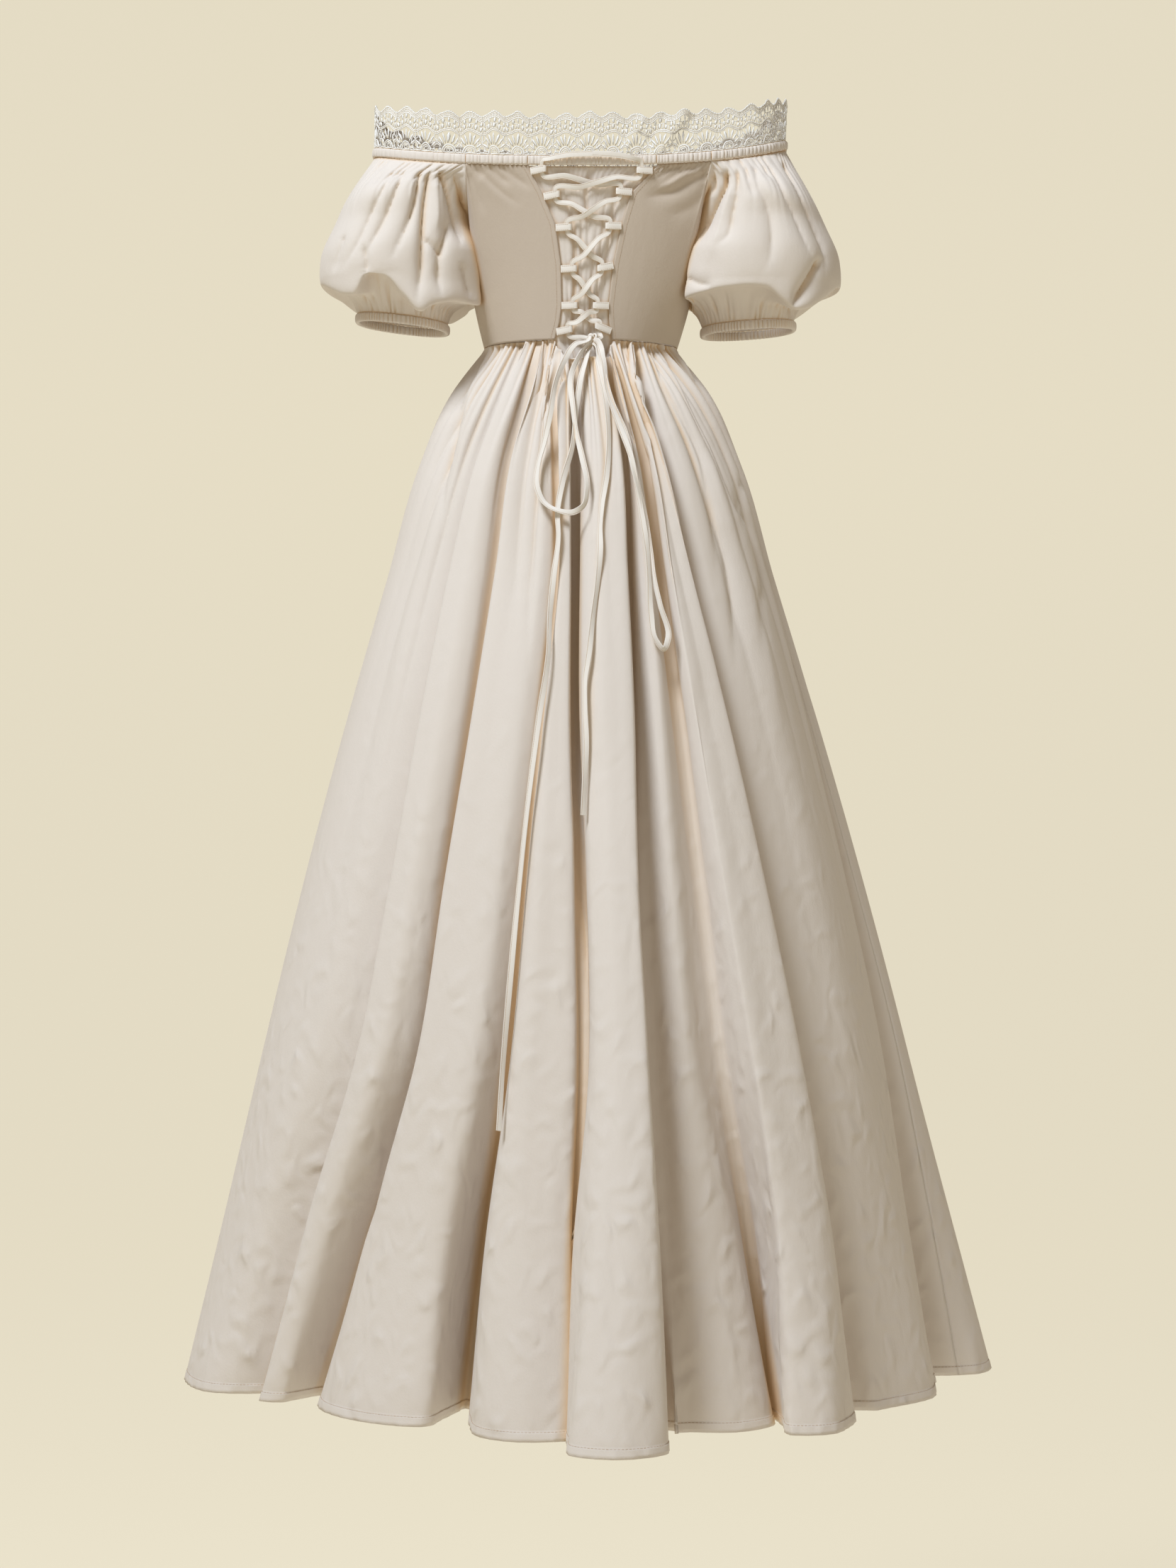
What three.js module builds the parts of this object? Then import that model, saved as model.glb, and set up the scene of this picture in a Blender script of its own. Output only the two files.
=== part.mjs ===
// An off-shoulder maxi dress, worn but with nobody in it: standing lace, a ruched casing
// round the neckline, puff sleeves, a fitted bodice laced at the back, and a full gathered skirt.
// Millimetres, +Z up. The back of the dress faces -Y and +X is the wearer's right.
// The origin is the middle of the neckline's ring, where the casing grips the wearer.
import * as THREE from 'three';
import { mergeVertices } from 'three/addons/utils/BufferGeometryUtils.js';

const { lerp, degToRad, clamp, smoothstep } = THREE.MathUtils;
const TURN = 2 * Math.PI;

// Cloth and seams
const CLOTH = 1.6;
const SEAM = 0.3;               // gap between one sewn piece and the next
const MODESTY_CLOTH = 1.2;
const WELD = 1e-4;              // points closer than this are one

// Neckline: a superellipse in plan, higher over the arms than at the back and front
const NECK = { centre: -5, halfWidth: 227, back: 103, front: 105, roundness: 2.6 };
const NECK_Z = { back: -6.5, front: -12, left: 18, right: 27, rise: 1.8 };
const CASING = { height: 10, edge: 1, thick: 2.4, thin: 1.6, ruche: 13 };
const JOIN_X = { backLeft: -128, backRight: 137, front: 130 };
const NECK_SAMPLES = 1440;
const STATION_STEP = 1;         // distance either way over which the neckline's direction is taken

// Lace: one repeat is a scalloped tile with four gaps cut through, in shares of its width and height
const LACE = { height: 47, cloth: 1.2, repeats: 44, wave: 2.4, wavesAround: 13, seamS: -131 };
const TILE_EDGE = [[0, 0], [0.5, 0], [1, 0], [1, 0.92], [0.72, 1], [0.28, 1], [0, 0.92]];
const TILE_RIGHT = 2;           // the outline's edge that meets the next repeat
const TILE_GAPS = [
  [[0.04, 0.13], [0.14, 0.07], [0.26, 0.14], [0.15, 0.25]],
  [[0.74, 0.14], [0.86, 0.07], [0.96, 0.13], [0.85, 0.25]],
  [[0.17, 0.44], [0.36, 0.42], [0.36, 0.64], [0.17, 0.62]],
  [[0.64, 0.42], [0.83, 0.44], [0.83, 0.62], [0.64, 0.64]],
];

// Bodice
const WAIST = { centre: -4, halfWidth: 107, halfDepth: 85, z: -197 };
const UNDERARM = { left: -127, right: 127, z: -60 };
const NECK_SHARE = 0.6;         // share of a half panel's width that hangs from the casing
const FULLNESS = { side: 6, sideBend: 4, bust: 15, bustBend: 0.7, bustDrop: 0.75 };
const BODICE_ROWS = [0, 0.14, 0.3, 0.5, 0.7, 0.87, 1];
const BACK_COLUMNS = 9;
const FRONT_COLUMNS = 18;
const COLUMN_BIAS = 0.9;        // below 1 puts more of a back panel's columns near the opening
const EDGE_GAP = 0.002;
const SEARCH = { reach: 0.95, steps: 40 };
const OPENING = [
  { z: -12, left: -61, right: 78 },
  { z: -41, left: -45, right: 50 },
  { z: -74, left: -31, right: 40 },
  { z: -117, left: -25, right: 31 },
  { z: -160, left: -24, right: 26 },
  { z: -180, left: -27, right: 27 },
  { z: -197, left: -32, right: 30 },
];
const NOTCH = [
  { x: -33, z: -197 },
  { x: -19, z: -219 },
  { x: 21, z: -217 },
  { x: 31, z: -197 },
];

// Skirt: how the flare opens with the way down, then one row for each fold of the hem
const HEM_Z = -1330;
const HEM_MEAN = { halfWidth: 415, back: 425, front: 415 };
const FLARE = [
  { down: 0, out: 0 }, { down: 0.027, out: 0.072 }, { down: 0.057, out: 0.14 },
  { down: 0.087, out: 0.19 }, { down: 0.157, out: 0.284 }, { down: 0.272, out: 0.395 },
  { down: 0.387, out: 0.505 }, { down: 0.502, out: 0.606 }, { down: 0.753, out: 0.806 },
  { down: 1, out: 1 },
];
const FOLDS = [
  { crest: -84, out: 440, wide: 12, valley: -66.5, in: 368 },
  { crest: -62, out: 388, wide: 3, valley: -61, in: 318 },
  { crest: -37, out: 380, wide: 11, valley: -28, in: 262 },
  { crest: -8, out: 414, wide: 7, valley: -3, in: 372 },
  { crest: 4, out: 500, wide: 5.5, valley: 13, in: 370 },
  { crest: 23, out: 390, wide: 8, valley: 36, in: 322 },
  { crest: 34, out: 444, wide: 5, valley: 49, in: 370 },
  { crest: 66, out: 405, wide: 12, valley: 84, in: 372 },
  { crest: 94, out: 455, wide: 6, valley: 106, in: 376 },
  { crest: 116, out: 432, wide: 6, valley: 127, in: 352 },
  { crest: 138, out: 452, wide: 8, valley: 150, in: 366 },
  { crest: 161, out: 438, wide: 6, valley: 170, in: 345 },
  { crest: 180, out: 466, wide: 6, valley: 191, in: 370 },
  { crest: 201, out: 440, wide: 7, valley: 211, in: 352 },
  { crest: 221, out: 455, wide: 6, valley: 232, in: 366 },
  { crest: 242, out: 430, wide: 5, valley: 252, in: 360 },
];
const FOLD_POINTS = 6;
const FOLD_SHAPE = { rise: 0.6, fall: 0.4, half: 0.5, shoulder: 0.96 };
const SPREAD = 13;              // points of the hem either way that a waist column is the mean of
const SEAM_LEFT = 1;
const SEAM_RIGHT = 8 * FOLD_POINTS + 1;
const SKIRT_ROWS = [0, 0.01, 0.03, 0.07, 0.14, 0.26, 0.45, 0.7, 1];
const GATHER = [
  { down: 0, deep: 0 }, { down: 0.01, deep: 3.5 }, { down: 0.05, deep: 5 },
  { down: 0.17, deep: 4 }, { down: 0.4, deep: 2 }, { down: 0.76, deep: 0 }, { down: 1, deep: 0 },
];
const FOLD_START = 0.2;         // the share of the way down at which the hem's folds are whole

// Sleeves: rings from the puff's shoulder down to the cuff. outer and inner are distances from x = 0.
const SLEEVES = {
  left: {
    side: -1,
    rings: [
      { z: -66, outer: 277, inner: 134, deep: 106, tilt: 0 },
      { z: -98, outer: 291, inner: 122, deep: 111, tilt: 0 },
      { z: -126, outer: 291, inner: 114, deep: 106, tilt: 6 },
      { z: -147, outer: 268, inner: 122, deep: 84, tilt: 12 },
      { z: -157, outer: 256, inner: 140, deep: 60, tilt: 12 },
    ],
    cuff: { z: -165, outer: 251, inner: 152, deep: 47, tilt: 12 },
  },
  right: {
    side: 1,
    rings: [
      { z: -66, outer: 268, inner: 128, deep: 106, tilt: 0 },
      { z: -100, outer: 282, inner: 116, deep: 111, tilt: 0 },
      { z: -131, outer: 282, inner: 106, deep: 106, tilt: 6 },
      { z: -154, outer: 256, inner: 108, deep: 84, tilt: 10 },
      { z: -164, outer: 236, inner: 120, deep: 60, tilt: 8 },
    ],
    cuff: { z: -171, outer: 232, inner: 131, deep: 47, tilt: 7 },
  },
};
const PUFF = { neckColumns: 30, armColumns: 8, roundness: 2.3, clear: 4, edge: 123, shoulder: 0.5, lift: 4 };
const PUFF_GATHERS = [0, 5, 6, 6, 5, 5, 3.5, 0];
const CUFF = { height: 9, thick: 2.4, thin: 1.5, edge: 0.8, columns: 34 };
// The bodice's side as a sleeve meets it: half widths and depths at the underarm and at the waist
const BODY_SIDE = { top: 130, foot: 111, deepTop: 98, deepFoot: 85, fall: 1.3, roundness: 3 };

// Modesty panel
const MODESTY = { columns: 14, overlap: 8, gather: 6, rows: 5, tuck: 3, clear: 0.2, footClear: 1.2 };
const MODESTY_GATHERS = { from: 0.15, over: 0.7 };

// Loops, lacing and bow, all of one flat tie. off is the distance out from the cloth behind it.
const TIE = { width: 7, thick: 1.3, pieceGap: 0.5, flat: 0.75, edge: 0.5 };
const LOOP = { reach: 17, deep: 4.8, wall: 0.9, height: 7.6, sink: 0.1, inset: 2, soft: 0.6 };
const LOOPS = [
  { left: -18, right: -17 }, { left: -45, right: -40 }, { left: -78, right: -76 },
  { left: -122, right: -118 }, { left: -161, right: -161 }, { left: -189, right: -188 },
];
const LACING = {
  width: 4.4, over: 4.8, under: 2.4, beyond: 2, crossing: [0.4, 0.6], start: 0.6, inLoop: 9.4,
};
// The tie's flat run over the casing, and its turn down into the first loop
const BAR = { x: 9, z: -1.5, sag: 1, level: -8, off: 8, turnIn: 3, turnUp: 11, turnOff: 7.6 };
const KNOT = {
  x: 9, z: -197, off: 8, width: 12, height: 15, deep: 10, bunch: 3, stem: 5, columns: 10, rows: 6,
};
const LACING_ROOT = 0.2;        // how far forward of the knot's side the lacing enters it
// How far either way a hanging strand feels for the ridge that it lies on
const STRAND_REACH = { across: [-18, -9, 0, 9, 18], down: [-12, 0, 12] };
// Where each strand comes out of the knot, as a direction from its middle, -Y outwards
const ROOTS = {
  bow_loop_left: [{ x: -0.85, y: -0.5, z: -0.2 }, { x: -0.5, y: -0.45, z: -0.8 }],
  bow_loop_right: [{ x: 0.75, y: -0.6, z: -0.4 }, { x: 0.25, y: -0.6, z: -0.9 }],
  tie_end_left: [{ x: -0.5, y: 0.05, z: -0.85 }],
  tie_end_right: [{ x: 0.45, y: 0.05, z: -0.85 }],
};
const STRANDS = {
  bow_loop_left: [
    { x: -9, z: -205, off: 12 }, { x: -22, z: -226, off: 11 },
    { x: -31, z: -252, off: 11 }, { x: -36, z: -284, off: 10 }, { x: -42, z: -314, off: 10 },
    { x: -49, z: -343, off: 10 }, { x: -50, z: -364, off: 10 }, { x: -43, z: -381, off: 10 },
    { x: -28, z: -391, off: 10 }, { x: -12, z: -393, off: 9 }, { x: -1, z: -386, off: 7.5 },
    { x: 3, z: -370, off: 7 }, { x: -2, z: -334, off: 7 }, { x: -8, z: -307, off: 7 },
    { x: -12, z: -277, off: 7 }, { x: -14, z: -242, off: 7 }, { x: -6, z: -220, off: 8.5 },
  ],
  bow_loop_right: [
    { x: 20, z: -222, off: 14.5 }, { x: 25, z: -261, off: 11 },
    { x: 37, z: -297, off: 11 }, { x: 50, z: -334, off: 11 }, { x: 57, z: -371, off: 11 },
    { x: 62, z: -401, off: 11 }, { x: 66, z: -430, off: 11 }, { x: 68, z: -459, off: 11 },
    { x: 70, z: -501, off: 11 }, { x: 75, z: -528, off: 9.8 }, { x: 83, z: -538, off: 9 },
    { x: 88, z: -526, off: 8.2 }, { x: 80, z: -492, off: 7.8 }, { x: 73, z: -460, off: 7.8 },
    { x: 69, z: -430, off: 7.8 }, { x: 64, z: -394, off: 7.8 }, { x: 52, z: -345, off: 7.8 },
    { x: 44, z: -307, off: 7.8 }, { x: 30, z: -272, off: 7.8 }, { x: 21, z: -240, off: 8.4 },
    { x: 17, z: -222, off: 10 },
  ],
  tie_end_left: [
    { x: 2, z: -222, off: 4 }, { x: -3, z: -241, off: 3 }, { x: -8, z: -275, off: 3 },
    { x: -13, z: -323, off: 3 }, { x: -23, z: -360, off: 3 }, { x: -28, z: -394, off: 3 },
    { x: -27, z: -418, off: 3 }, { x: -32, z: -461, off: 3 }, { x: -36, z: -504, off: 3 },
    { x: -37, z: -540, off: 3 }, { x: -47, z: -612, off: 3 }, { x: -59, z: -710, off: 3 },
    { x: -68, z: -799, off: 3 }, { x: -76, z: -886, off: 3 }, { x: -83, z: -973, off: 3 },
    { x: -86, z: -1029, off: 3 },
  ],
  tie_end_right: [
    { x: 15, z: -226, off: 3.4 }, { x: 23, z: -269, off: 2.8 },
    { x: 26, z: -312, off: 2.8 }, { x: 24, z: -350, off: 2.8 }, { x: 19, z: -384, off: 2.8 },
    { x: 17, z: -410, off: 2.8 }, { x: 17, z: -430, off: 2.8 }, { x: 14, z: -466, off: 2.8 },
    { x: 9, z: -504, off: 2.8 }, { x: 5, z: -542, off: 2.8 }, { x: 1, z: -572, off: 2.8 },
    { x: 1, z: -601, off: 2.8 }, { x: 2, z: -637, off: 2.8 }, { x: 0, z: -685, off: 2.8 },
    { x: -1, z: -711, off: 2.8 },
  ],
};

// Colours
const COTTON = { color: 0xe6d9c4, roughness: 0.9, metalness: 0 };
const LACE_COLOUR = { color: 0xe9e6e0, roughness: 0.95, metalness: 0 };

const dress = new THREE.Group();

function add(name, geometry, look = COTTON) {
  const mesh = new THREE.Mesh(geometry, new THREE.MeshStandardMaterial(look));
  mesh.name = name;
  dress.add(mesh);
}

// The value of one column at a key, straight between the rows of a table
function lookUp(table, key, column, at) {
  const rising = table[0][key] < table[table.length - 1][key] ? 1 : -1;
  if (rising * (at - table[0][key]) <= 0) return table[0][column];
  for (let i = 1; i < table.length; i++) {
    const a = table[i - 1];
    const b = table[i];
    if (rising * (b[key] - at) >= 0) {
      return lerp(a[column], b[column], (at - a[key]) / (b[key] - a[key]));
    }
  }
  return table[table.length - 1][column];
}

// A closed body from points and faces, with its faces turned outwards
function body(points, faces) {
  const geometry = new THREE.BufferGeometry();
  const positions = points.flatMap((p) => [p.x, p.y, p.z]);
  geometry.setAttribute('position', new THREE.Float32BufferAttribute(positions, 3));
  let volume = 0;
  const cross = new THREE.Vector3();
  for (const [a, b, c] of faces) volume += points[a].dot(cross.crossVectors(points[b], points[c]));
  const turned = volume < 0 ? faces.map(([a, b, c]) => [a, c, b]) : faces;
  geometry.setIndex(turned.flat());
  const welded = mergeVertices(geometry, WELD);
  welded.computeVertexNormals();
  return welded;
}

// The inner face of a wall: the outer grid moved in along its own normals
function innerGrid(outer, thickness, { closed = false, core, flatSides = false }) {
  const rows = outer.length;
  const columns = outer[0].length;
  const normals = outer.map((row, i) => row.map((p, j) => {
    const left = closed ? row[(j + columns - 1) % columns] : row[Math.max(j - 1, 0)];
    const right = closed ? row[(j + 1) % columns] : row[Math.min(j + 1, columns - 1)];
    const across = right.clone().sub(left);
    const down = outer[Math.min(i + 1, rows - 1)][j].clone().sub(outer[Math.max(i - 1, 0)][j]);
    return across.cross(down).normalize();
  }));
  let facing = 0;
  outer.forEach((row, i) => row.forEach((p, j) => {
    facing += normals[i][j].dot(p.clone().sub(core(p)));
  }));
  return outer.map((row, i) => row.map((p, j) => {
    const n = normals[i][j].multiplyScalar(Math.sign(facing));
    if (i === 0 || i === rows - 1) n.setZ(0).normalize();
    if (flatSides && (j === 0 || j === columns - 1)) n.setY(0).normalize();
    return p.clone().addScaledVector(n, -thickness);
  }));
}

// A wall between an outer and an inner grid of points, with its rims closed
function wall(outer, inner, closed = false) {
  const rows = outer.length;
  const columns = outer[0].length;
  const points = [...outer.flat(), ...inner.flat()];
  const at = (side, i, j) => side * rows * columns + i * columns + (j % columns);
  const faces = [];
  const quad = (a, b, c, d) => faces.push([a, b, c], [a, c, d]);
  const spans = closed ? columns : columns - 1;
  for (let j = 0; j < spans; j++) {
    for (let i = 0; i < rows - 1; i++) {
      quad(at(0, i, j), at(0, i + 1, j), at(0, i + 1, j + 1), at(0, i, j + 1));
      quad(at(1, i, j), at(1, i, j + 1), at(1, i + 1, j + 1), at(1, i + 1, j));
    }
    quad(at(0, 0, j), at(0, 0, j + 1), at(1, 0, j + 1), at(1, 0, j));
    const end = rows - 1;
    quad(at(0, end, j), at(1, end, j), at(1, end, j + 1), at(0, end, j + 1));
  }
  if (!closed) {
    for (let i = 0; i < rows - 1; i++) {
      const end = columns - 1;
      quad(at(0, i, 0), at(1, i, 0), at(1, i + 1, 0), at(0, i + 1, 0));
      quad(at(0, i, end), at(0, i + 1, end), at(1, i + 1, end), at(1, i, end));
    }
  }
  return body(points, faces);
}

// A section carried along stations. A station has a place and its outward and upward directions.
function sweep(stations, section, closed = false) {
  const sides = section(0).length;
  const points = stations.flatMap(({ place, out, up }, i) => section(i).map(([o, u]) => (
    place.clone().addScaledVector(out, o).addScaledVector(up, u))));
  const faces = [];
  const spans = closed ? stations.length : stations.length - 1;
  for (let i = 0; i < spans; i++) {
    const here = i * sides;
    const next = ((i + 1) % stations.length) * sides;
    for (let k = 0; k < sides; k++) {
      const l = (k + 1) % sides;
      faces.push([here + k, here + l, next + l], [here + k, next + l, next + k]);
    }
  }
  if (!closed) {
    const end = (stations.length - 1) * sides;
    for (let k = 1; k < sides - 1; k++) faces.push([0, k + 1, k], [end, end + k, end + k + 1]);
  }
  return body(points, faces);
}

const zAxis = (p) => new THREE.Vector3(0, 0, p.z);
const UP = new THREE.Vector3(0, 0, 1);

// Neckline, sampled evenly along its length from the middle of the back towards +X
const power = (value, p) => Math.sign(value) * Math.abs(value) ** p;

function neckPoint(angle) {
  const bend = 2 / NECK.roundness;
  const x = NECK.centre + NECK.halfWidth * power(Math.sin(angle), bend);
  const deep = Math.cos(angle) > 0 ? NECK.back : NECK.front;
  const y = -deep * power(Math.cos(angle), bend);
  const side = x > NECK.centre ? NECK_Z.right : NECK_Z.left;
  const low = y < 0 ? NECK_Z.back : NECK_Z.front;
  const z = side + (low - side) * Math.min(1, Math.abs(y) / deep) ** NECK_Z.rise;
  return new THREE.Vector3(x, y, z);
}

const neckSamples = [...Array(NECK_SAMPLES + 1).keys()].map((i) => neckPoint((i / NECK_SAMPLES) * TURN));
const neckLengths = [0];
for (let i = 1; i <= NECK_SAMPLES; i++) {
  neckLengths.push(neckLengths[i - 1] + neckSamples[i].distanceTo(neckSamples[i - 1]));
}
const NECK_LENGTH = neckLengths[NECK_SAMPLES];

function neckAt(length) {
  const s = ((length % NECK_LENGTH) + NECK_LENGTH) % NECK_LENGTH;
  let i = 1;
  while (neckLengths[i] < s) i++;
  const t = (s - neckLengths[i - 1]) / (neckLengths[i] - neckLengths[i - 1]);
  return neckSamples[i - 1].clone().lerp(neckSamples[i], t);
}

function neckStation(length) {
  const along = neckAt(length + STATION_STEP).sub(neckAt(length - STATION_STEP)).setZ(0).normalize();
  return { place: neckAt(length), out: new THREE.Vector3(along.y, -along.x, 0), up: UP };
}

// The length round the neckline of its front or back point nearest to an x
function neckLengthAtX(x, front) {
  const far = ({ place }) => Math.abs(place.x - x);
  const { length } = neckSamples
    .map((place, i) => ({ place, length: neckLengths[i] }))
    .filter(({ place }) => (place.y > 0) === front)
    .reduce((best, sample) => (far(sample) < far(best) ? sample : best));
  return length > NECK_LENGTH / 2 && !front ? length - NECK_LENGTH : length;
}

const JOIN = {
  backLeft: neckLengthAtX(JOIN_X.backLeft, false),
  openLeft: neckLengthAtX(OPENING[0].left, false),
  openRight: neckLengthAtX(OPENING[0].right, false),
  backRight: neckLengthAtX(JOIN_X.backRight, false),
  frontRight: neckLengthAtX(JOIN_X.front, true),
  frontLeft: neckLengthAtX(-JOIN_X.front, true),
};

// Casing
function casing(name, from, to) {
  const length = to - from - SEAM;
  const steps = 2 * Math.round(length / CASING.ruche / 2);
  const stations = [];
  for (let i = 0; i <= steps; i++) stations.push(neckStation(from + SEAM / 2 + (length * i) / steps));
  const half = CASING.height / 2;
  add(name, sweep(stations, (i) => {
    const puff = i % 2 ? CASING.thick : CASING.thin;
    const { edge } = CASING;
    return [[edge, half], [puff, 0], [edge, -half], [-edge, -half], [-puff, 0], [-edge, half]];
  }));
}

casing('casing_back_left', JOIN.backLeft, JOIN.openLeft);
casing('modesty_casing', JOIN.openLeft, JOIN.openRight);
casing('casing_back_right', JOIN.openRight, JOIN.backRight);
casing('casing_sleeve_right', JOIN.backRight, JOIN.frontRight);
casing('casing_front', JOIN.frontRight, JOIN.frontLeft);
casing('casing_sleeve_left', JOIN.frontLeft, JOIN.backLeft + NECK_LENGTH);

// Lace
function lacePoint(length, height, side) {
  const { place, out } = neckStation(length);
  const round = (length / NECK_LENGTH) * TURN * LACE.wavesAround;
  const wave = LACE.wave * Math.sin(round) * (height / LACE.height);
  const base = CASING.height / 2 + SEAM;
  return place.addScaledVector(out, wave + (side * LACE.cloth) / 2).addScaledVector(UP, base + height);
}

function lace(name, from, to) {
  const repeats = LACE.repeats / 2;
  const pitch = (to - from - SEAM) / repeats;
  const outline = TILE_EDGE.map(([x, y]) => new THREE.Vector2(x, y));
  const holes = TILE_GAPS.map((gap) => gap.map(([x, y]) => new THREE.Vector2(x, y)));
  const triangles = THREE.ShapeUtils.triangulateShape(outline, holes);
  const flat = [...outline, ...holes.flat()];
  const points = [];
  const faces = [];
  for (let r = 0; r < repeats; r++) {
    const first = points.length;
    for (const side of [1, -1]) {
      for (const { x, y } of flat) {
        points.push(lacePoint(from + SEAM / 2 + pitch * (r + x), y * LACE.height, side));
      }
    }
    const back = flat.length;
    for (const [a, b, c] of triangles) {
      faces.push([first + a, first + b, first + c], [first + back + a, first + back + c, first + back + b]);
    }
    const rim = (a, b) => faces.push(
      [first + b, first + a, first + back + a],
      [first + b, first + back + a, first + back + b],
    );
    outline.forEach((_, k) => {
      const leftEnd = k === TILE_EDGE.length - 1;
      const rightEnd = k === TILE_RIGHT;
      if (leftEnd && r > 0) return;
      if (rightEnd && r < repeats - 1) return;
      rim(k, (k + 1) % outline.length);
    });
    let start = outline.length;
    for (const hole of holes) {
      const turns = THREE.ShapeUtils.isClockWise(hole);
      for (let k = 0; k < hole.length; k++) {
        const a = start + k;
        const b = start + ((k + 1) % hole.length);
        if (turns) rim(a, b);
        else rim(b, a);
      }
      start += hole.length;
    }
  }
  add(name, body(points, faces), LACE_COLOUR);
}

lace('lace_back_right', LACE.seamS, LACE.seamS + NECK_LENGTH / 2);
lace('lace_front_left', LACE.seamS + NECK_LENGTH / 2, LACE.seamS + NECK_LENGTH);

// Bodice. across runs -1 to 1 from one side seam to the other, down 0 to 1 from casing to waist.
const CASING_FOOT = CASING.height / 2 + SEAM;

function bodiceTop(across, front) {
  const side = Math.sign(across) || 1;
  const mirror = front ? 1 : -1;
  const joinRight = front ? JOIN.frontRight : JOIN.backRight;
  const joinLeft = front ? JOIN.frontLeft : JOIN.backLeft;
  const middle = front ? (joinRight + joinLeft) / 2 : 0;
  const join = side > 0 ? joinRight : joinLeft;
  const share = Math.abs(across) / NECK_SHARE;
  if (share <= 1) return neckAt(lerp(middle, join, share)).addScaledVector(UP, -CASING_FOOT);
  const corner = neckAt(join).addScaledVector(UP, -CASING_FOOT);
  const sweepAngle = ((share - 1) / (1 / NECK_SHARE - 1)) * (Math.PI / 2);
  const underarm = side > 0 ? UNDERARM.right : UNDERARM.left;
  return new THREE.Vector3(
    lerp(corner.x, underarm, Math.sin(sweepAngle)),
    mirror * lerp(Math.abs(corner.y), SEAM / 2, 1 - Math.cos(sweepAngle)),
    lerp(corner.z, UNDERARM.z, Math.sin(sweepAngle)),
  );
}

function waistPoint(angle) {
  return new THREE.Vector3(
    WAIST.centre + WAIST.halfWidth * Math.sin(angle),
    -WAIST.halfDepth * Math.cos(angle),
    WAIST.z,
  );
}

function bodicePoint(across, down, front) {
  const top = bodiceTop(across, front);
  const angle = across * (Math.PI / 2);
  const foot = waistPoint(front ? Math.PI - angle : angle);
  foot.y += front ? SEAM / 2 : -SEAM / 2;
  const point = top.lerp(foot, down);
  point.x += Math.sign(across) * FULLNESS.side * across ** FULLNESS.sideBend * Math.sin(Math.PI * down);
  if (front) {
    const low = Math.sin(Math.PI * down ** FULLNESS.bustDrop);
    point.y += FULLNESS.bust * Math.cos(angle) ** FULLNESS.bustBend * low;
  }
  return point;
}

// The value of across at which a row of the back passes the place that xAt gives for a height
function acrossAt(down, xAt) {
  let low = -SEARCH.reach;
  let high = SEARCH.reach;
  for (let k = 0; k < SEARCH.steps; k++) {
    const middle = (low + high) / 2;
    const point = bodicePoint(middle, down, false);
    if (point.x < xAt(point.z)) low = middle;
    else high = middle;
  }
  return (low + high) / 2;
}

const openingAcross = (down, edge) => acrossAt(down, (z) => lookUp(OPENING, 'z', edge, z));

function bodiceWall(name, outer) {
  add(name, wall(outer, innerGrid(outer, CLOTH, { core: zAxis, flatSides: true })));
}

for (const [edge, side] of [['left', -1], ['right', 1]]) {
  bodiceWall(`bodice_back_${edge}`, BODICE_ROWS.map((down) => {
    const open = openingAcross(down, edge) + side * EDGE_GAP;
    return [...Array(BACK_COLUMNS + 1).keys()].map((j) => (
      bodicePoint(lerp(side, open, (j / BACK_COLUMNS) ** COLUMN_BIAS), down, false)));
  }));
}

bodiceWall('bodice_front', BODICE_ROWS.map((down) => (
  [...Array(FRONT_COLUMNS + 1).keys()].map((j) => (
    bodicePoint(lerp(-1, 1, j / FRONT_COLUMNS), down, true))))));

// Skirt. The hem's outline has six points for each fold, and the waist's points follow them round.
const outlinePoint = (degrees, radius) => new THREE.Vector3(
  radius * Math.sin(degToRad(degrees)), -radius * Math.cos(degToRad(degrees)), HEM_Z);

const hemControls = FOLDS.flatMap((fold, k) => {
  const { rise, fall, half, shoulder } = FOLD_SHAPE;
  const before = FOLDS[(k + FOLDS.length - 1) % FOLDS.length];
  const valleyBefore = k === 0 ? before.valley - 360 : before.valley;
  return [
    { at: lerp(valleyBefore, fold.crest - fold.wide, rise), r: lerp(before.in, fold.out, half) },
    { at: fold.crest - fold.wide, r: fold.out * shoulder },
    { at: fold.crest, r: fold.out },
    { at: fold.crest + fold.wide, r: fold.out * shoulder },
    { at: lerp(fold.crest + fold.wide, fold.valley, fall), r: lerp(fold.out, fold.in, half) },
    { at: fold.valley, r: fold.in },
  ];
});
const COLUMNS = hemControls.length;

// The waist angle of a column is the mean angle of the hem's points near it
const waistAngles = hemControls.map((_, j) => {
  let sum = 0;
  for (let k = -SPREAD; k <= SPREAD; k++) {
    const turns = Math.floor((j + k) / COLUMNS);
    sum += hemControls[j + k - turns * COLUMNS].at + 360 * turns;
  }
  return degToRad(sum / (2 * SPREAD + 1));
});

function skirtPoint(column, down) {
  const { at, r } = hemControls[column];
  const angle = waistAngles[column];
  const top = waistPoint(angle);
  const deep = Math.cos(angle) > 0 ? HEM_MEAN.back : HEM_MEAN.front;
  const mean = new THREE.Vector3(HEM_MEAN.halfWidth * Math.sin(angle), -deep * Math.cos(angle), HEM_Z);
  const hem = mean.lerp(outlinePoint(at, r), smoothstep(down, 0, FOLD_START));
  const out = lookUp(FLARE, 'down', 'out', down);
  const gather = (column % 2) * lookUp(GATHER, 'down', 'deep', down);
  return new THREE.Vector3(
    lerp(top.x, hem.x, out) + gather * Math.sin(angle),
    lerp(top.y, hem.y, out) - gather * Math.cos(angle),
    lerp(WAIST.z - SEAM, HEM_Z, down),
  );
}

function notchDown(column) {
  const top = waistPoint(waistAngles[column]);
  if (top.y > 0) return 0;
  return (WAIST.z - lookUp(NOTCH, 'x', 'z', top.x)) / (WAIST.z - HEM_Z);
}

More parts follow.
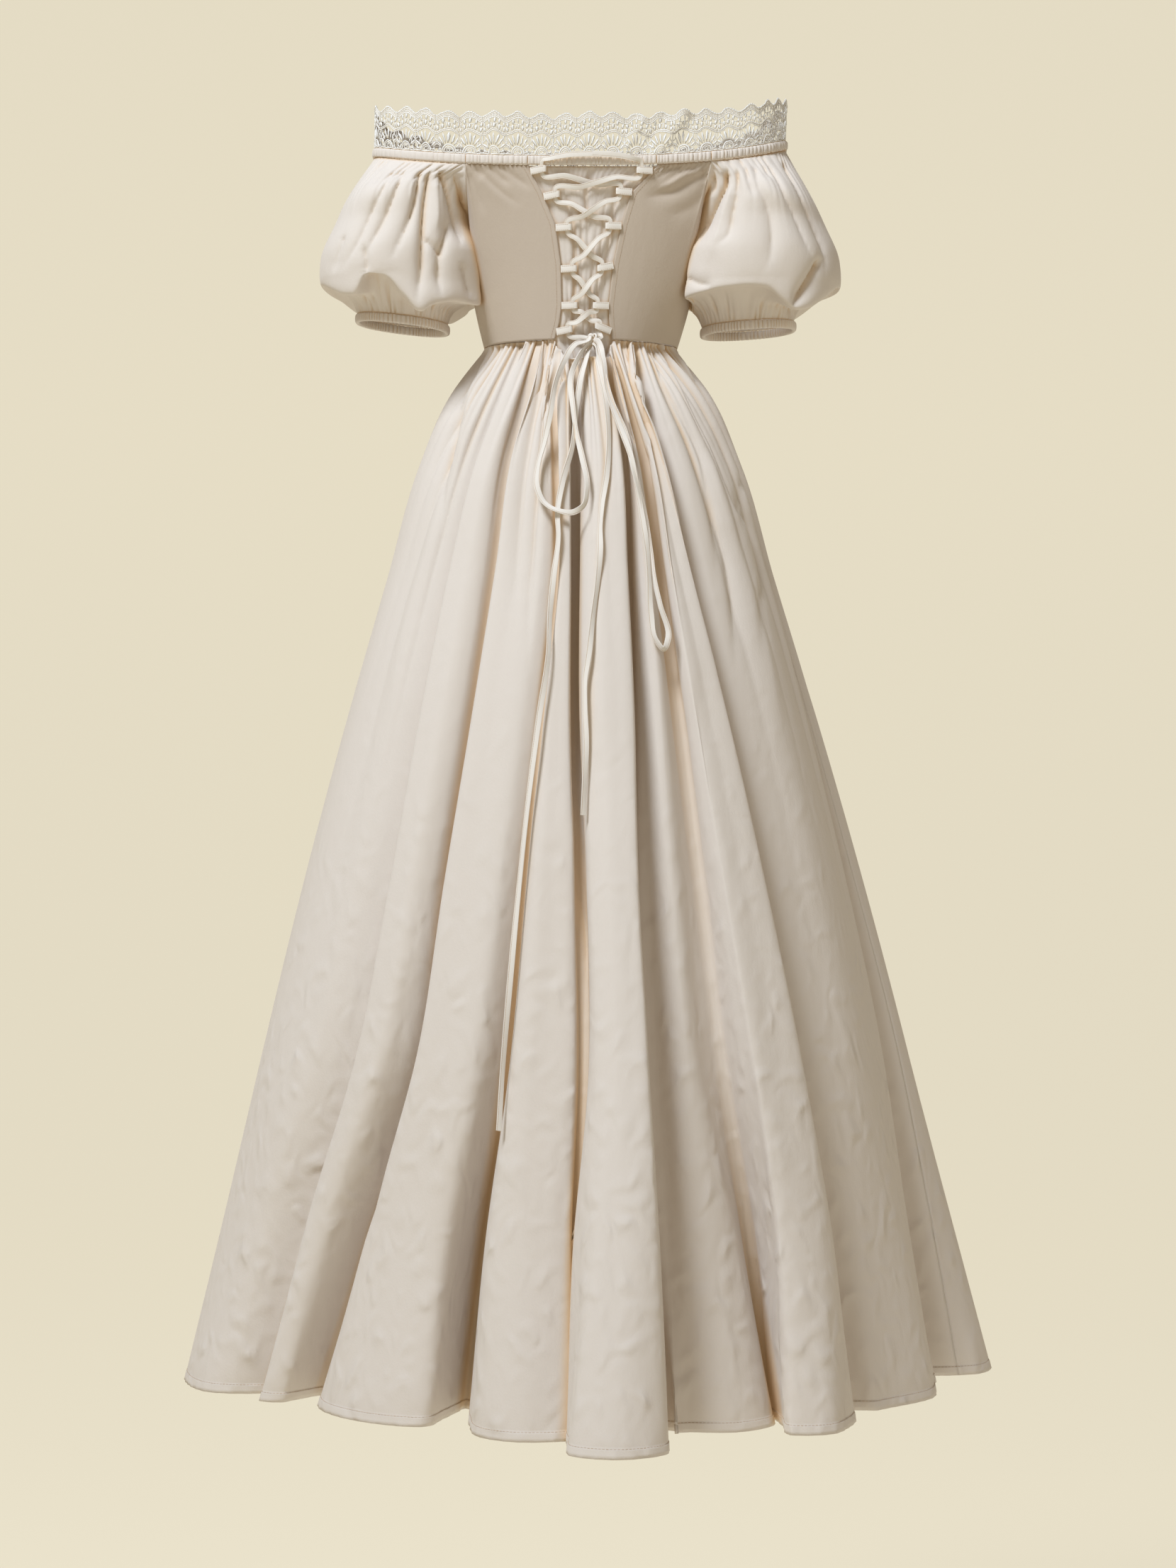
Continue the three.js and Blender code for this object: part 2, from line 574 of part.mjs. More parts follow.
const skirtOuter = SKIRT_ROWS.map((row) => hemControls.map((_, j) => {
  const start = notchDown(j);
  return skirtPoint(j, start + (1 - start) * row);
}));
const skirtInner = innerGrid(skirtOuter, CLOTH, { closed: true, core: zAxis });

function skirtPanel(name, from, to) {
  const slice = (grid) => grid.map((row) => {
    const part = [];
    for (let j = from; j <= to; j++) part.push(row[j % COLUMNS].clone());
    const nudge = (a, b) => a.add(b.clone().sub(a).setLength(SEAM / 2));
    nudge(part[0], part[1]);
    nudge(part[part.length - 1], part[part.length - 2]);
    return part;
  });
  add(name, wall(slice(skirtOuter), slice(skirtInner)));
}

skirtPanel('skirt_back', SEAM_LEFT, SEAM_RIGHT);
skirtPanel('skirt_front', SEAM_RIGHT, SEAM_LEFT + COLUMNS);

// The skirt's back at a place: the furthest -Y that its outer face reaches at that x and z
function skirtBack(x, z) {
  const down = clamp((WAIST.z - z) / (WAIST.z - HEM_Z), 0, 1);
  let back = 0;
  for (let j = 0; j < COLUMNS; j++) {
    const a = skirtPoint(j, down);
    const b = skirtPoint((j + 1) % COLUMNS, down);
    if ((a.x - x) * (b.x - x) > 0 || a.x === b.x) continue;
    back = Math.min(back, lerp(a.y, b.y, (x - a.x) / (b.x - a.x)));
  }
  return back;
}

// The bodice's back at a place, carried over the opening
function bodiceBack(x, z) {
  const down = clamp((z + CASING_FOOT - NECK_Z.back) / (WAIST.z + CASING_FOOT - NECK_Z.back), 0, 1);
  return bodicePoint(acrossAt(down, () => x), down, false).y;
}

// Modesty panel: behind the opening, with soft gathers that only go inwards
const modestyDepth = CLOTH + SEAM;
const modestyRows = [...Array(MODESTY.rows + 1).keys()].map((i) => {
  const down = i / MODESTY.rows;
  const left = openingAcross(down, 'left');
  const right = openingAcross(down, 'right');
  const a = bodicePoint(left, down, false).x - MODESTY.overlap;
  const b = bodicePoint(right, down, false).x + MODESTY.overlap;
  return [...Array(MODESTY.columns + 1).keys()].map((j) => {
    const share = j / MODESTY.columns;
    const x = lerp(a, b, share);
    const z = lerp(NECK_Z.back - CASING_FOOT - SEAM, WAIST.z, down);
    const along = Math.sin(Math.PI * (MODESTY_GATHERS.from + MODESTY_GATHERS.over * down));
    const gather = j % 2 ? MODESTY.gather * Math.sin(Math.PI * share) * along : 0;
    return new THREE.Vector3(x, bodiceBack(x, z) + modestyDepth + MODESTY.clear + gather, z);
  });
});
const notchFoot = lookUp(NOTCH, 'x', 'z', 0) - MODESTY.tuck;
modestyRows.push([...Array(MODESTY.columns + 1).keys()].map((j) => {
  const x = lerp(NOTCH[1].x - MODESTY.overlap, NOTCH[2].x + MODESTY.overlap, j / MODESTY.columns);
  const y = skirtBack(x, notchFoot) + modestyDepth + GATHER[1].deep + MODESTY.footClear;
  return new THREE.Vector3(x, y, notchFoot);
}));
add('modesty_panel', wall(modestyRows, innerGrid(modestyRows, MODESTY_CLOTH, { core: zAxis })));

// Sleeves and cuffs. turn runs round the arm: 0 outwards, a quarter at the back, a half inwards.
function armRing(ring, side, turn) {
  const middle = (ring.outer + ring.inner) / 2;
  const half = (ring.outer - ring.inner) / 2;
  const bend = 2 / PUFF.roundness;
  const x = middle + half * power(Math.cos(turn), bend);
  const tilt = ring.tilt * (x - middle) / (2 * half);
  return new THREE.Vector3(side * x, -ring.deep * power(Math.sin(turn), bend), ring.z + tilt);
}

// How far the bodice's side reaches at a place, for a sleeve to stay clear of
function bodySide(y, z) {
  const down = clamp((UNDERARM.z - z) / (UNDERARM.z - WAIST.z), 0, 1);
  const { top, foot, deepTop, deepFoot, fall, roundness } = BODY_SIDE;
  const width = lerp(top, foot, down ** fall);
  const share = Math.min(1, Math.abs(y) / lerp(deepTop, deepFoot, down));
  return width * (1 - share ** roundness) ** (1 / roundness);
}

function sleeveTop(spec, column) {
  const left = spec.side < 0;
  const { neckColumns, armColumns } = PUFF;
  const half = neckColumns / 2;
  const back = left ? JOIN.backLeft + NECK_LENGTH : JOIN.backRight;
  const front = left ? JOIN.frontLeft : JOIN.frontRight;
  if (Math.abs(column) <= half) {
    const point = neckAt(lerp(front, back, (column + half) / neckColumns));
    return { point: point.addScaledVector(UP, -CASING_FOOT), neck: true };
  }
  const beyond = (column - half) / armColumns;
  const share = beyond < 0.5 ? 1 - 2 * beyond : 2 * beyond - 1;
  const across = spec.side * lerp(1, NECK_SHARE, share);
  const point = bodiceTop(across, beyond > 0.5);
  point.x += spec.side * SEAM;
  if (beyond === 0.5) point.y = 0;
  return { point, neck: false };
}

function sleeve(name, spec) {
  const { neckColumns, armColumns, clear } = PUFF;
  const total = neckColumns + armColumns;
  const half = neckColumns / 2;
  const outer = PUFF_GATHERS.map((gatherDepth, row) => (
    [...Array(total).keys()].map((k) => {
      const column = k - half;
      const { point, neck } = sleeveTop(spec, column);
      const edge = degToRad(PUFF.edge);
      const turn = neck ? (column / half) * edge
        : lerp(edge, TURN - edge, (column - half) / armColumns);
      const ring = row === 0 ? null : (spec.rings[Math.max(0, row - 2)] ?? spec.cuff);
      const place = ring ? armRing(ring, spec.side, turn) : point;
      if (row === 1) {
        place.lerp(point, PUFF.shoulder);
        place.x += spec.side * PUFF.lift * Math.cos(turn);
      }
      if (row > 0 && (k % 2)) {
        place.x -= spec.side * gatherDepth * Math.cos(turn);
        place.y += gatherDepth * Math.sin(turn);
      }
      const limit = bodySide(place.y, place.z) + clear;
      if (row > 0 && place.x * spec.side < limit) place.x = spec.side * limit;
      return place;
    })));
  const core = (p) => new THREE.Vector3((spec.side * (spec.cuff.outer + spec.cuff.inner)) / 2, 0, p.z);
  add(name, wall(outer, innerGrid(outer, CLOTH, { closed: true, core }), true));
}

function cuff(name, spec) {
  const stations = [...Array(CUFF.columns).keys()].map((k) => {
    const turn = (k / CUFF.columns) * TURN;
    const ring = { ...spec.cuff, z: spec.cuff.z - CUFF.height / 2 - 2 * SEAM };
    const place = armRing(ring, spec.side, turn);
    const out = new THREE.Vector3(spec.side * Math.cos(turn), -Math.sin(turn), 0);
    return { place: place.addScaledVector(out, -CLOTH / 2), out, up: UP };
  });
  const half = CUFF.height / 2;
  add(name, sweep(stations, (i) => {
    const thick = i % 2 ? CUFF.thick : CUFF.thin;
    const { edge } = CUFF;
    return [[edge, half], [thick, 0], [edge, -half], [-edge, -half], [-CUFF.thin, 0], [-edge, half]];
  }, true));
}

for (const [side, spec] of Object.entries(SLEEVES)) {
  sleeve(`sleeve_${side}`, spec);
  cuff(`cuff_${side}`, spec);
}

// Loops: a flat band doubled over, open at its top and foot, fixed at the opening's edge
const loopFoot = (x, z) => bodiceBack(x, z) + CLOTH - LOOP.sink;
const loopEdge = (side, z) => lookUp(OPENING, 'z', side > 0 ? 'right' : 'left', z);

function loop(name, side, z) {
  const reachEdge = (dz) => -side * loopEdge(side, z + dz);
  const furthest = Math.max(reachEdge(LOOP.height / 2), reachEdge(-LOOP.height / 2));
  const edge = -side * (furthest + SEAM + LOOP.inset);
  const half = LOOP.deep / 2;
  const place = (reach, out, height) => {
    const x = edge - side * reach;
    const level = z + (height * LOOP.height) / 2;
    return new THREE.Vector3(x, loopFoot(x, level) - out, level);
  };
  const band = (inset) => {
    const turn = LOOP.reach - half - inset * LOOP.soft;
    return [
      [inset, inset], [turn, inset], [LOOP.reach - inset, half],
      [turn, LOOP.deep - inset], [inset, LOOP.deep - inset],
    ];
  };
  const outer = band(0);
  const inner = band(LOOP.wall);
  const rings = [[outer, 1], [inner, 1], [inner, -1], [outer, -1]];
  const points = rings.flatMap(([ring, height]) => ring.map(([reach, out]) => place(reach, out, height)));
  const sides = outer.length;
  const faces = [];
  for (let ring = 0; ring < rings.length; ring++) {
    for (let k = 0; k < sides; k++) {
      const l = (k + 1) % sides;
      const next = ((ring + 1) % rings.length) * sides;
      faces.push([ring * sides + k, ring * sides + l, next + l], [ring * sides + k, next + l, next + k]);
    }
  }
  add(name, body(points, faces));
}

LOOPS.forEach((row, i) => {
  loop(`loop_left_${i}`, -1, row.left);
  loop(`loop_right_${i}`, 1, row.right);
});

// Flat ties: a ribbon that keeps its face to the back, through a list of places
function ribbon(places, widthAt) {
  const stations = places.map((place, i) => {
    const next = places[Math.min(i + 1, places.length - 1)];
    const along = next.clone().sub(places[Math.max(i - 1, 0)]).normalize();
    const up = along.clone().cross(new THREE.Vector3(0, -1, 0)).normalize();
    return { place: place.clone(), out: up.clone().cross(along).normalize(), up };
  });
  const face = TIE.thick / 2;
  const rim = face * TIE.edge;
  return sweep(stations, (i) => {
    const w = widthAt(i) / 2;
    const flat = w * TIE.flat;
    return [
      [face, flat], [face, -flat], [rim, -w], [-rim, -w],
      [-face, -flat], [-face, flat], [-rim, w], [rim, w],
    ];
  });
}

// How far back the dress reaches at a place
const backAt = (x, z) => (z > WAIST.z ? bodiceBack(x, z) : skirtBack(x, z));

const knotMiddle = new THREE.Vector3(KNOT.x, bodiceBack(KNOT.x, KNOT.z) - KNOT.off, KNOT.z);

// A place just outside the knot, in a direction from its middle
function knotPlace({ x, y, z }, beyond = 0) {
  const reach = Math.hypot(x / KNOT.width, y / KNOT.deep, z / KNOT.height) * 2;
  const far = 1 / reach + (TIE.pieceGap + beyond) / Math.hypot(x, y, z);
  return new THREE.Vector3(x, y, z).multiplyScalar(far).add(knotMiddle);
}

// The middle of a loop's hollow
function loopMiddle(side, i) {
  const z = side > 0 ? LOOPS[i].right : LOOPS[i].left;
  return { x: loopEdge(side, z) - side * LACING.inLoop, z };
}

// From the middle of the bar, down through a loop of each row on alternate sides, into the knot
function lacingRun(name, side) {
  const top = loopMiddle(side, 0);
  const half = lerp(BAR.x, top.x, 1 / 2);
  const places = [
    new THREE.Vector3(BAR.x + (side * SEAM) / 2, loopFoot(BAR.x, BAR.level) - BAR.off, BAR.z),
    new THREE.Vector3(half, loopFoot(half, BAR.level) - BAR.off, BAR.z - BAR.sag),
    new THREE.Vector3(top.x - side * BAR.turnIn, loopFoot(top.x, top.z) - BAR.turnOff, top.z + BAR.turnUp),
  ];
  LOOPS.forEach((_, i) => {
    const s = i % 2 ? -side : side;
    const here = loopMiddle(s, i);
    const inLoop = (dz) => (
      new THREE.Vector3(here.x, loopFoot(here.x, here.z + dz) - LOOP.deep / 2, here.z + dz));
    const beyond = LOOP.height / 2 + LACING.beyond;
    places.push(inLoop(i ? beyond : LOOP.height / 2 + LACING.start), inLoop(0), inLoop(-beyond));
    if (i === LOOPS.length - 1) {
      const root = { x: s, y: LACING_ROOT, z: 0 };
      places.push(knotPlace(root, KNOT.stem), knotPlace(root));
      return;
    }
    const next = loopMiddle(-s, i + 1);
    const over = side > 0 ? i % 2 === 0 : i % 2 === 1;
    for (const t of LACING.crossing) {
      const x = lerp(here.x, next.x, t);
      const z = lerp(here.z, next.z, t);
      places.push(new THREE.Vector3(x, loopFoot(x, z) - (over ? LACING.over : LACING.under), z));
    }
  });
  add(name, ribbon(places, () => LACING.width));
}

lacingRun('lacing_left', -1);
lacingRun('lacing_right', 1);

// Bow: a round knot, two hanging loops and two free ends
const knot = new THREE.SphereGeometry(1, KNOT.columns, KNOT.rows);
knot.rotateX(Math.PI / 2);
knot.scale(KNOT.width / 2, KNOT.deep / 2, KNOT.height / 2);
knot.translate(knotMiddle.x, knotMiddle.y, knotMiddle.z);
knot.deleteAttribute('normal');
knot.deleteAttribute('uv');
add('bow_knot', mergeVertices(knot, WELD));

// A strand lies over the ridges of the skirt: the reach of its own width decides how far out it is
function strandPlace({ x, z, off }) {
  const { across, down } = STRAND_REACH;
  const near = across.flatMap((dx) => down.map((dz) => backAt(x + dx, z + dz)));
  return new THREE.Vector3(x, Math.min(0, ...near) - off, z);
}

for (const [name, rows] of Object.entries(STRANDS)) {
  const [start, end] = ROOTS[name].map((root) => [knotPlace(root), knotPlace(root, KNOT.stem)]);
  const places = [...start, ...rows.map(strandPlace), ...(end ? end.reverse() : [])];
  const bunched = (i) => i < 2 || (end && i > places.length - 3);
  add(name, ribbon(places, (i) => (bunched(i) ? KNOT.bunch : TIE.width)));
}

export default dress;
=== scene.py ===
"""An off-shoulder maxi dress seen from the back: its cloth, lace, ties and stitching, on the CAD frame."""

import math

import bpy
import numpy as np
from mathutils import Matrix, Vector


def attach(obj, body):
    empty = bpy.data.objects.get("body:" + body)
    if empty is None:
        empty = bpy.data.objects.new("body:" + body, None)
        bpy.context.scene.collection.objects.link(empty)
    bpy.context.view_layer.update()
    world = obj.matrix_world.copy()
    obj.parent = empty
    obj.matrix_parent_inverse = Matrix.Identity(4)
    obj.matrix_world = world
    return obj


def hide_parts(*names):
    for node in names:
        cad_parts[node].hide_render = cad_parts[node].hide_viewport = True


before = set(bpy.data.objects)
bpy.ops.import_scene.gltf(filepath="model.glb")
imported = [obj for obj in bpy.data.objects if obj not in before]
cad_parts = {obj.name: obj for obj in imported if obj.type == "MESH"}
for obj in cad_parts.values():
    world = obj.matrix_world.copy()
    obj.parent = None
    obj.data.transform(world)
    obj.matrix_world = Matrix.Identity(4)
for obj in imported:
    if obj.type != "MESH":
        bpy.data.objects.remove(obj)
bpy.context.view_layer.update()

# Every size below is in millimetres, and MM turns it into the frame's metres
MM = 0.001
TURN = 2 * math.pi
RANDOM = np.random.default_rng(7)

CLOTH = 1.6
EDGE_ANGLE = 32                 # degrees from which a tie's edge is drawn sharp
FINE_CLOTH = 1.2

# Rows and columns of the smaller cloths' grids
BACK_GRID = (90, 80)
FRONT_GRID = (60, 120)
MODESTY_GRID = (80, 110)
SLEEVE_GRID = (96, 300)
CUFF_COLUMNS = 760
CUFF_RUCHES = 84
NECK_SAMPLES = 5761

# Neckline
NECK_CENTRE = -5
NECK_HALF = 227
NECK_BACK = 103
NECK_FRONT = 105
NECK_BEND = 2 / 2.6
NECK_Z_BACK = -6.5
NECK_Z_FRONT = -12
NECK_Z_LEFT = 18
NECK_Z_RIGHT = 27
NECK_RISE = 1.8
CASING_HALF = 5
CASING_FOOT = 5.3
JOIN_BACK_LEFT = -128
JOIN_BACK_RIGHT = 137
JOIN_FRONT = 130

# Lace
LACE_HEIGHT = 47
LACE_REPEATS = 44
LACE_WAVE = 2.4
LACE_WAVES = 13
LACE_SEAM = -131
LACE_FINE = 1.12                # weight of the threads at the back and at the front
LACE_HEAVY = 1.9

# Bodice
WAIST_CENTRE = -4
WAIST_HALF = 107
WAIST_DEEP = 85
WAIST_Z = -197
UNDERARM_X = 127
UNDERARM_Z = -60
SEAM_Y = 0.15                   # how far front and back end from each other's plane at the side
NECK_SHARE = 0.6
SIDE_FULLNESS = 6
BUST_FULLNESS = 15
OPENING = np.array([
    (-12, -61, 78), (-41, -45, 50), (-74, -31, 40), (-117, -25, 31),
    (-160, -24, 26), (-180, -27, 27), (-197, -32, 30)], float)
NOTCH = np.array([(-33, -197), (-19, -219), (21, -217), (31, -197)], float)

# Skirt: how far it has opened at each height, then its folds at the hem
HEM_Z = -1330
HEM_HALF = 415
HEM_BACK = 425
HEM_FRONT = 415
LEVELS = np.array([-197, -250, -330, -450, -600, -780, -960, -1150, -1330], float)
FLARE = np.array([0, 0.124, 0.235, 0.341, 0.473, 0.617, 0.745, 0.869, 1])
# Hem folds: crest angle, reach, half width, angle of the valley that follows, reach there
FOLDS = [
    (-84, 440, 12, -66.5, 368), (-62, 388, 3, -61, 318), (-37, 380, 11, -28, 262),
    (-8, 414, 7, -3, 372), (4, 500, 5.5, 13, 370), (23, 390, 8, 36, 322), (34, 444, 5, 49, 370),
    (66, 405, 12, 84, 372), (94, 455, 6, 106, 376), (116, 432, 6, 127, 352), (138, 452, 8, 150, 366),
    (161, 438, 6, 170, 345), (180, 466, 6, 191, 370), (201, 440, 7, 211, 352), (221, 455, 6, 232, 366),
    (242, 430, 5, 252, 360)]
# Valleys above the hem: for each fold, the angle at each level, which side stands steeper
# (1 the fold after it, -1 the fold before it), and the depth at each level
VALLEYS = [
    ((-35.8, -36, -41, -44.8, -46, -47, -50, -55), 1, (2, 6, 9, 13, 19, 27, 35, 40)),
    ((-25.5, -24, -27.5, -28.5, -30.2, -33, -35.8, -40), 1, (2, 6, 9, 13, 20, 30, 46, 70)),
    ((-12.2, -11.5, -9, -7.3, -10, -12.8, -15.5, -19), 0, (2, 4, 3, 4, 9, 24, 50, 90)),
    ((-5.8, -4.2, -3.5, -3, -2.5, -0.8, 0, -1), -1, (2, 14, 24, 26, 28, 28, 30, 34)),
    ((13.2, 13.8, 15.5, 14.3, 13, 11.2, 11, 11.4), -1, (2, 8, 14, 22, 28, 32, 38, 46)),
    ((18.5, 19.2, 23.5, 25.2, 26, 27, 28.5, 31), 1, (2, 7, 9, 12, 16, 22, 32, 44)),
    ((34.2, 29.4, 31, 34.2, 37.8, 40.2, 41.8, 45), -1, (2, 8, 12, 18, 25, 31, 37, 45)),
    ((62, 70, 79, 84, 85, 85.5, 85.5, 85), -1, (2, 5, 8, 11, 15, 20, 26, 32)),
    ((88, 95, 100, 102, 103, 104, 105, 106), 0, (2, 6, 9, 12, 18, 24, 30, 38)),
    ((112, 116, 119, 121, 123, 124, 125, 126), 1, (2, 6, 9, 14, 20, 28, 38, 50)),
    ((135, 139, 142, 144, 146, 148, 149, 150), -1, (2, 6, 9, 14, 20, 27, 35, 45)),
    ((160, 162, 164, 166, 167, 168, 169, 170), 1, (2, 8, 12, 18, 26, 34, 42, 54)),
    ((182, 184, 186, 188, 189, 190, 191, 191), -1, (2, 6, 9, 14, 20, 27, 35, 45)),
    ((205, 206, 207, 208, 209, 210, 211, 211), 1, (2, 6, 10, 15, 22, 30, 40, 50)),
    ((229, 230, 231, 232, 232, 232, 232, 232), -1, (2, 6, 9, 14, 20, 27, 35, 45)),
    ((262, 260, 257, 255, 254, 253, 252, 252), 0, (2, 5, 8, 12, 18, 24, 30, 38))]
RIDGE_GROWTH = np.array([0, 0.06, 0.12, 0.22, 0.36, 0.54, 0.72, 0.9, 1])
VALLEY_MORE = np.array([1, 5, 7, 7, 6, 5, 3, 1])
# Recesses between two folds that stand apart: the valley's fold, then half width and depth down it
RECESSES = [
    (3, [(-215, 3, 2), (-260, 5, 5), (-330, 6, 7), (-440, 7, 8), (-480, 4.5, 8), (-680, 3.5, 8),
         (-760, 2, 5), (-1200, 1.5, 4), (-1330, 1.5, 3)]),
    (4, [(-230, 1.5, 2), (-330, 2.5, 7), (-600, 4, 10), (-800, 5, 12), (-960, 6.5, 14), (-1200, 7.5, 14),
         (-1330, 7, 8)]),
]
# The skirt's grid: spans between control points on the back, columns on each half, rows
BACK_SPANS = 48
BACK_COLUMNS = 436
FRONT_COLUMNS = 236
SKIRT_ROWS = 106
# Heights of the hem's rows above its edge, and how far the turned hem stands out
HEM_ROWS = np.array([12, 9.6, 9, 8.2, 4, 0])
HEM_STEP = 0.4
# Gathers along the back of the waist: place across, depth and how far down each runs
GATHER_DEPTH = 2.4
GATHER_RUN = 1.7
GATHERS = [
    (-103, 2.5, 60), (-97, 3.4, 130), (-90, 3.8, 190), (-84, 3.2, 70), (-78, 4.4, 230), (-71, 3.2, 60),
    (-66, 4, 120), (-59, 3, 55), (-51, 4, 90), (-46, 3.4, 60), (-41, 3.2, 110), (-35, 3.6, 90),
    (-30, 3.4, 70), (-18, 3, 60), (-13, 3.4, 90), (-8, 2.8, 60), (-2, 3.2, 80), (4, 3, 60),
    (10, 3.4, 90), (16, 3, 60), (25, 3.4, 80), (36, 3.8, 130), (43, 4, 170), (49, 3.2, 60),
    (56, 4.2, 120), (62, 3, 60), (68, 4.2, 240), (73, 3, 70), (77, 4, 190), (81, 3, 60),
    (85, 4.6, 330), (91, 3.4, 90), (96, 3.8, 220), (101, 2.8, 90)]
# Soft creases on the skirt's back: depth, width, lean, then (x, z) along each
SOFT_CREASES = [
    (4, 20, 1, [(-150, -330), (-193, -450), (-227, -600), (-265, -780), (-300, -960)]),
    (4, 14, 1, [(15, -640), (18, -780), (24, -960), (28, -1150)]),
    (4, 18, 1, [(120, -600), (138, -780), (162, -960), (190, -1150)]),
    (4, 22, 1, [(-180, -900), (-205, -1050), (-222, -1200), (-236, -1320)]),
    (-4, 16, 1, [(-40, -700), (-52, -900), (-62, -1100), (-70, -1300)]),
    (-3, 20, 1, [(-120, -260), (-165, -400), (-205, -540)]),
    (-3, 16, 1, [(140, -330), (178, -450), (205, -560)]),
]
# Folds seen from the waist down: depth, width of the steep side, how much wider the other side is
# (to the left where negative), then (x, z) along each
TRACED_FOLDS = [
    (5, 3, -3, [(-107, -198), (-133, -242), (-149, -282)]),
    (4, 3, -3, [(-103, -201), (-126, -240), (-142, -262)]),
    (6, 3, -4, [(-95, -201), (-110, -235), (-125, -261), (-141, -286), (-156, -325)]),
    (3.5, 3, -3, [(-28, -207), (-43, -245), (-54, -281), (-62, -329), (-72, -420)]),
    (5, 3, -3, [(-18, -220), (-31, -249), (-39, -277), (-46, -333), (-58, -450)]),
    (5, 2.6, 3, [(42, -208), (57, -236), (65, -258)]),
    (6, 3, 4, [(69, -205), (86, -251), (107, -294), (129, -349), (144, -403), (160, -450)]),
    (4, 2.6, 3, [(79, -208), (92, -250), (118, -297), (141, -355)]),
    (4.5, 3, 4, [(89, -206), (115, -252), (142, -311), (169, -380), (190, -440)]),
    (4, 3, 3, [(103, -204), (124, -232), (146, -270), (170, -320)]),
]
TRACED_DEPTH = 1.45
# Depth of the narrow crease down each valley
VALLEY_CREASE = 7.5

# Sleeves: rings from the shoulder to the cuff, as (z, outer, inner, depth, tilt), then the depth of
# the gathers at each, and the height at which the puff's edge hangs round the arm
SLEEVES = {
    "left": {
        "side": -1,
        "rings": [(-30, 259, 132, 104, 0), (-66, 277, 120, 107, 0), (-98, 291, 108, 111, 0),
                  (-126, 292, 104, 107, 0), (-138, 280, 108, 95, 0), (-147, 262, 122, 74, 4)],
        "cuff": (-165, 251, 152, 47, 12),
        "hang": [(0, -128), (20, -134), (48, -148), (60, -149), (68, -124), (83, -131), (90, -150),
                 (99, -171), (108, -160), (125, -155), (150, -156), (180, -148), (215, -140), (245, -158),
                 (262, -150), (290, -160), (325, -136), (360, -128)],
        "creases": [
            (5, 5, [(-208, -14), (-218, -36), (-233, -66), (-249, -99), (-266, -125)]),
            (7, 6, [(-194, -15), (-205, -43), (-218, -73), (-234, -103), (-238, -121)]),
            (4, 3.5, [(-220, -13), (-225, -22), (-231, -32)]), (4, 3.5, [(-201, -14), (-204, -27)]),
            (10, 6, [(-176, -18), (-180, -36), (-185, -58), (-194, -84), (-210, -118)]),
            (11, 5, [(-166, -18), (-170, -43), (-173, -73), (-174, -99), (-176, -132), (-182, -166)]),
            (12, 6, [(-154, -16), (-146, -36), (-140, -58), (-134, -81), (-131, -99)]),
            (5, 5, [(-170, -92), (-160, -101), (-150, -110)]),
            (8, 5, [(-147, -73), (-149, -88), (-154, -106), (-156, -132), (-153, -155)]),
            (6, 5, [(-138, -18), (-132, -36), (-128, -55)]),
            (5, 4, [(-131, -118), (-126, -136), (-119, -155)]),
            (-4, 9, [(-184, -25), (-191, -73), (-203, -118)]),
            (-4, 8, [(-160, -29), (-160, -73), (-164, -88)]),
            (5, 4, [(-240, -100), (-236, -120), (-238, -132)]),
            (4, 5, [(-262, -86), (-270, -108), (-272, -126)]),
        ],
    },
    "right": {
        "side": 1,
        "rings": [(-30, 250, 128, 104, 0), (-66, 268, 116, 107, 0), (-100, 282, 104, 111, 0),
                  (-131, 283, 98, 107, 0), (-145, 270, 98, 95, 0), (-154, 250, 108, 74, 4)],
        "cuff": (-171, 232, 131, 47, 7),
        "hang": [(0, -127), (20, -136), (33, -146), (52, -162), (64, -166), (74, -158), (85, -143),
                 (95, -141), (120, -144), (150, -149), (165, -151), (180, -155), (215, -142), (245, -158),
                 (268, -150), (292, -160), (325, -134), (360, -127)],
        "creases": [
            (13, 5, [(153, -17), (151, -32), (143, -47), (133, -66), (125, -84), (120, -95)]),
            (7, 5, [(165, -16), (165, -36), (160, -62), (153, -88), (138, -99)]),
            (6, 8, [(185, -10), (188, -32), (198, -55), (203, -81), (201, -110), (192, -132)]),
            (5, 6, [(203, -8), (212, -32), (225, -58), (240, -92), (251, -121)]),
            (9, 6, [(220, -1), (236, -36), (253, -73), (264, -106), (262, -132)]),
            (4, 3.5, [(175, -12), (177, -29), (185, -47)]), (4, 3.5, [(196, -9), (201, -25)]),
            (5, 3.5, [(138, -14), (140, -27), (136, -40)]),
            (12, 5, [(257, -112), (240, -141), (222, -168)]),
            (-4, 9, [(157, -36), (147, -73), (133, -118)]), (4, 5, [(112, -128), (124, -136), (140, -139)]),
        ],
    },
}
# Folds on a sleeve's front: angle round the arm, depth, width, and the shares of the way down
# between which each runs
SLEEVE_FRONT_FOLDS = [
    (196, 5, 6, 0, 0.7), (222, 9, 7, 0, 0.8), (250, 8, 6, 0, 0.9), (272, 10, 7, 0, 0.85),
    (296, 7, 7, 0, 0.8), (318, 6, 7, 0, 0.7), (340, 5, 7, 0, 0.6)]
PUFF_NECK_EDGE = 123
SLEEVE_CLEAR = 2.4
PUFF_BEND = 2 / 2.3
SLEEVE_STATIONS = np.array([0, 0.13, 0.3, 0.46, 0.6, 0.7, 0.76, 0.9, 1])

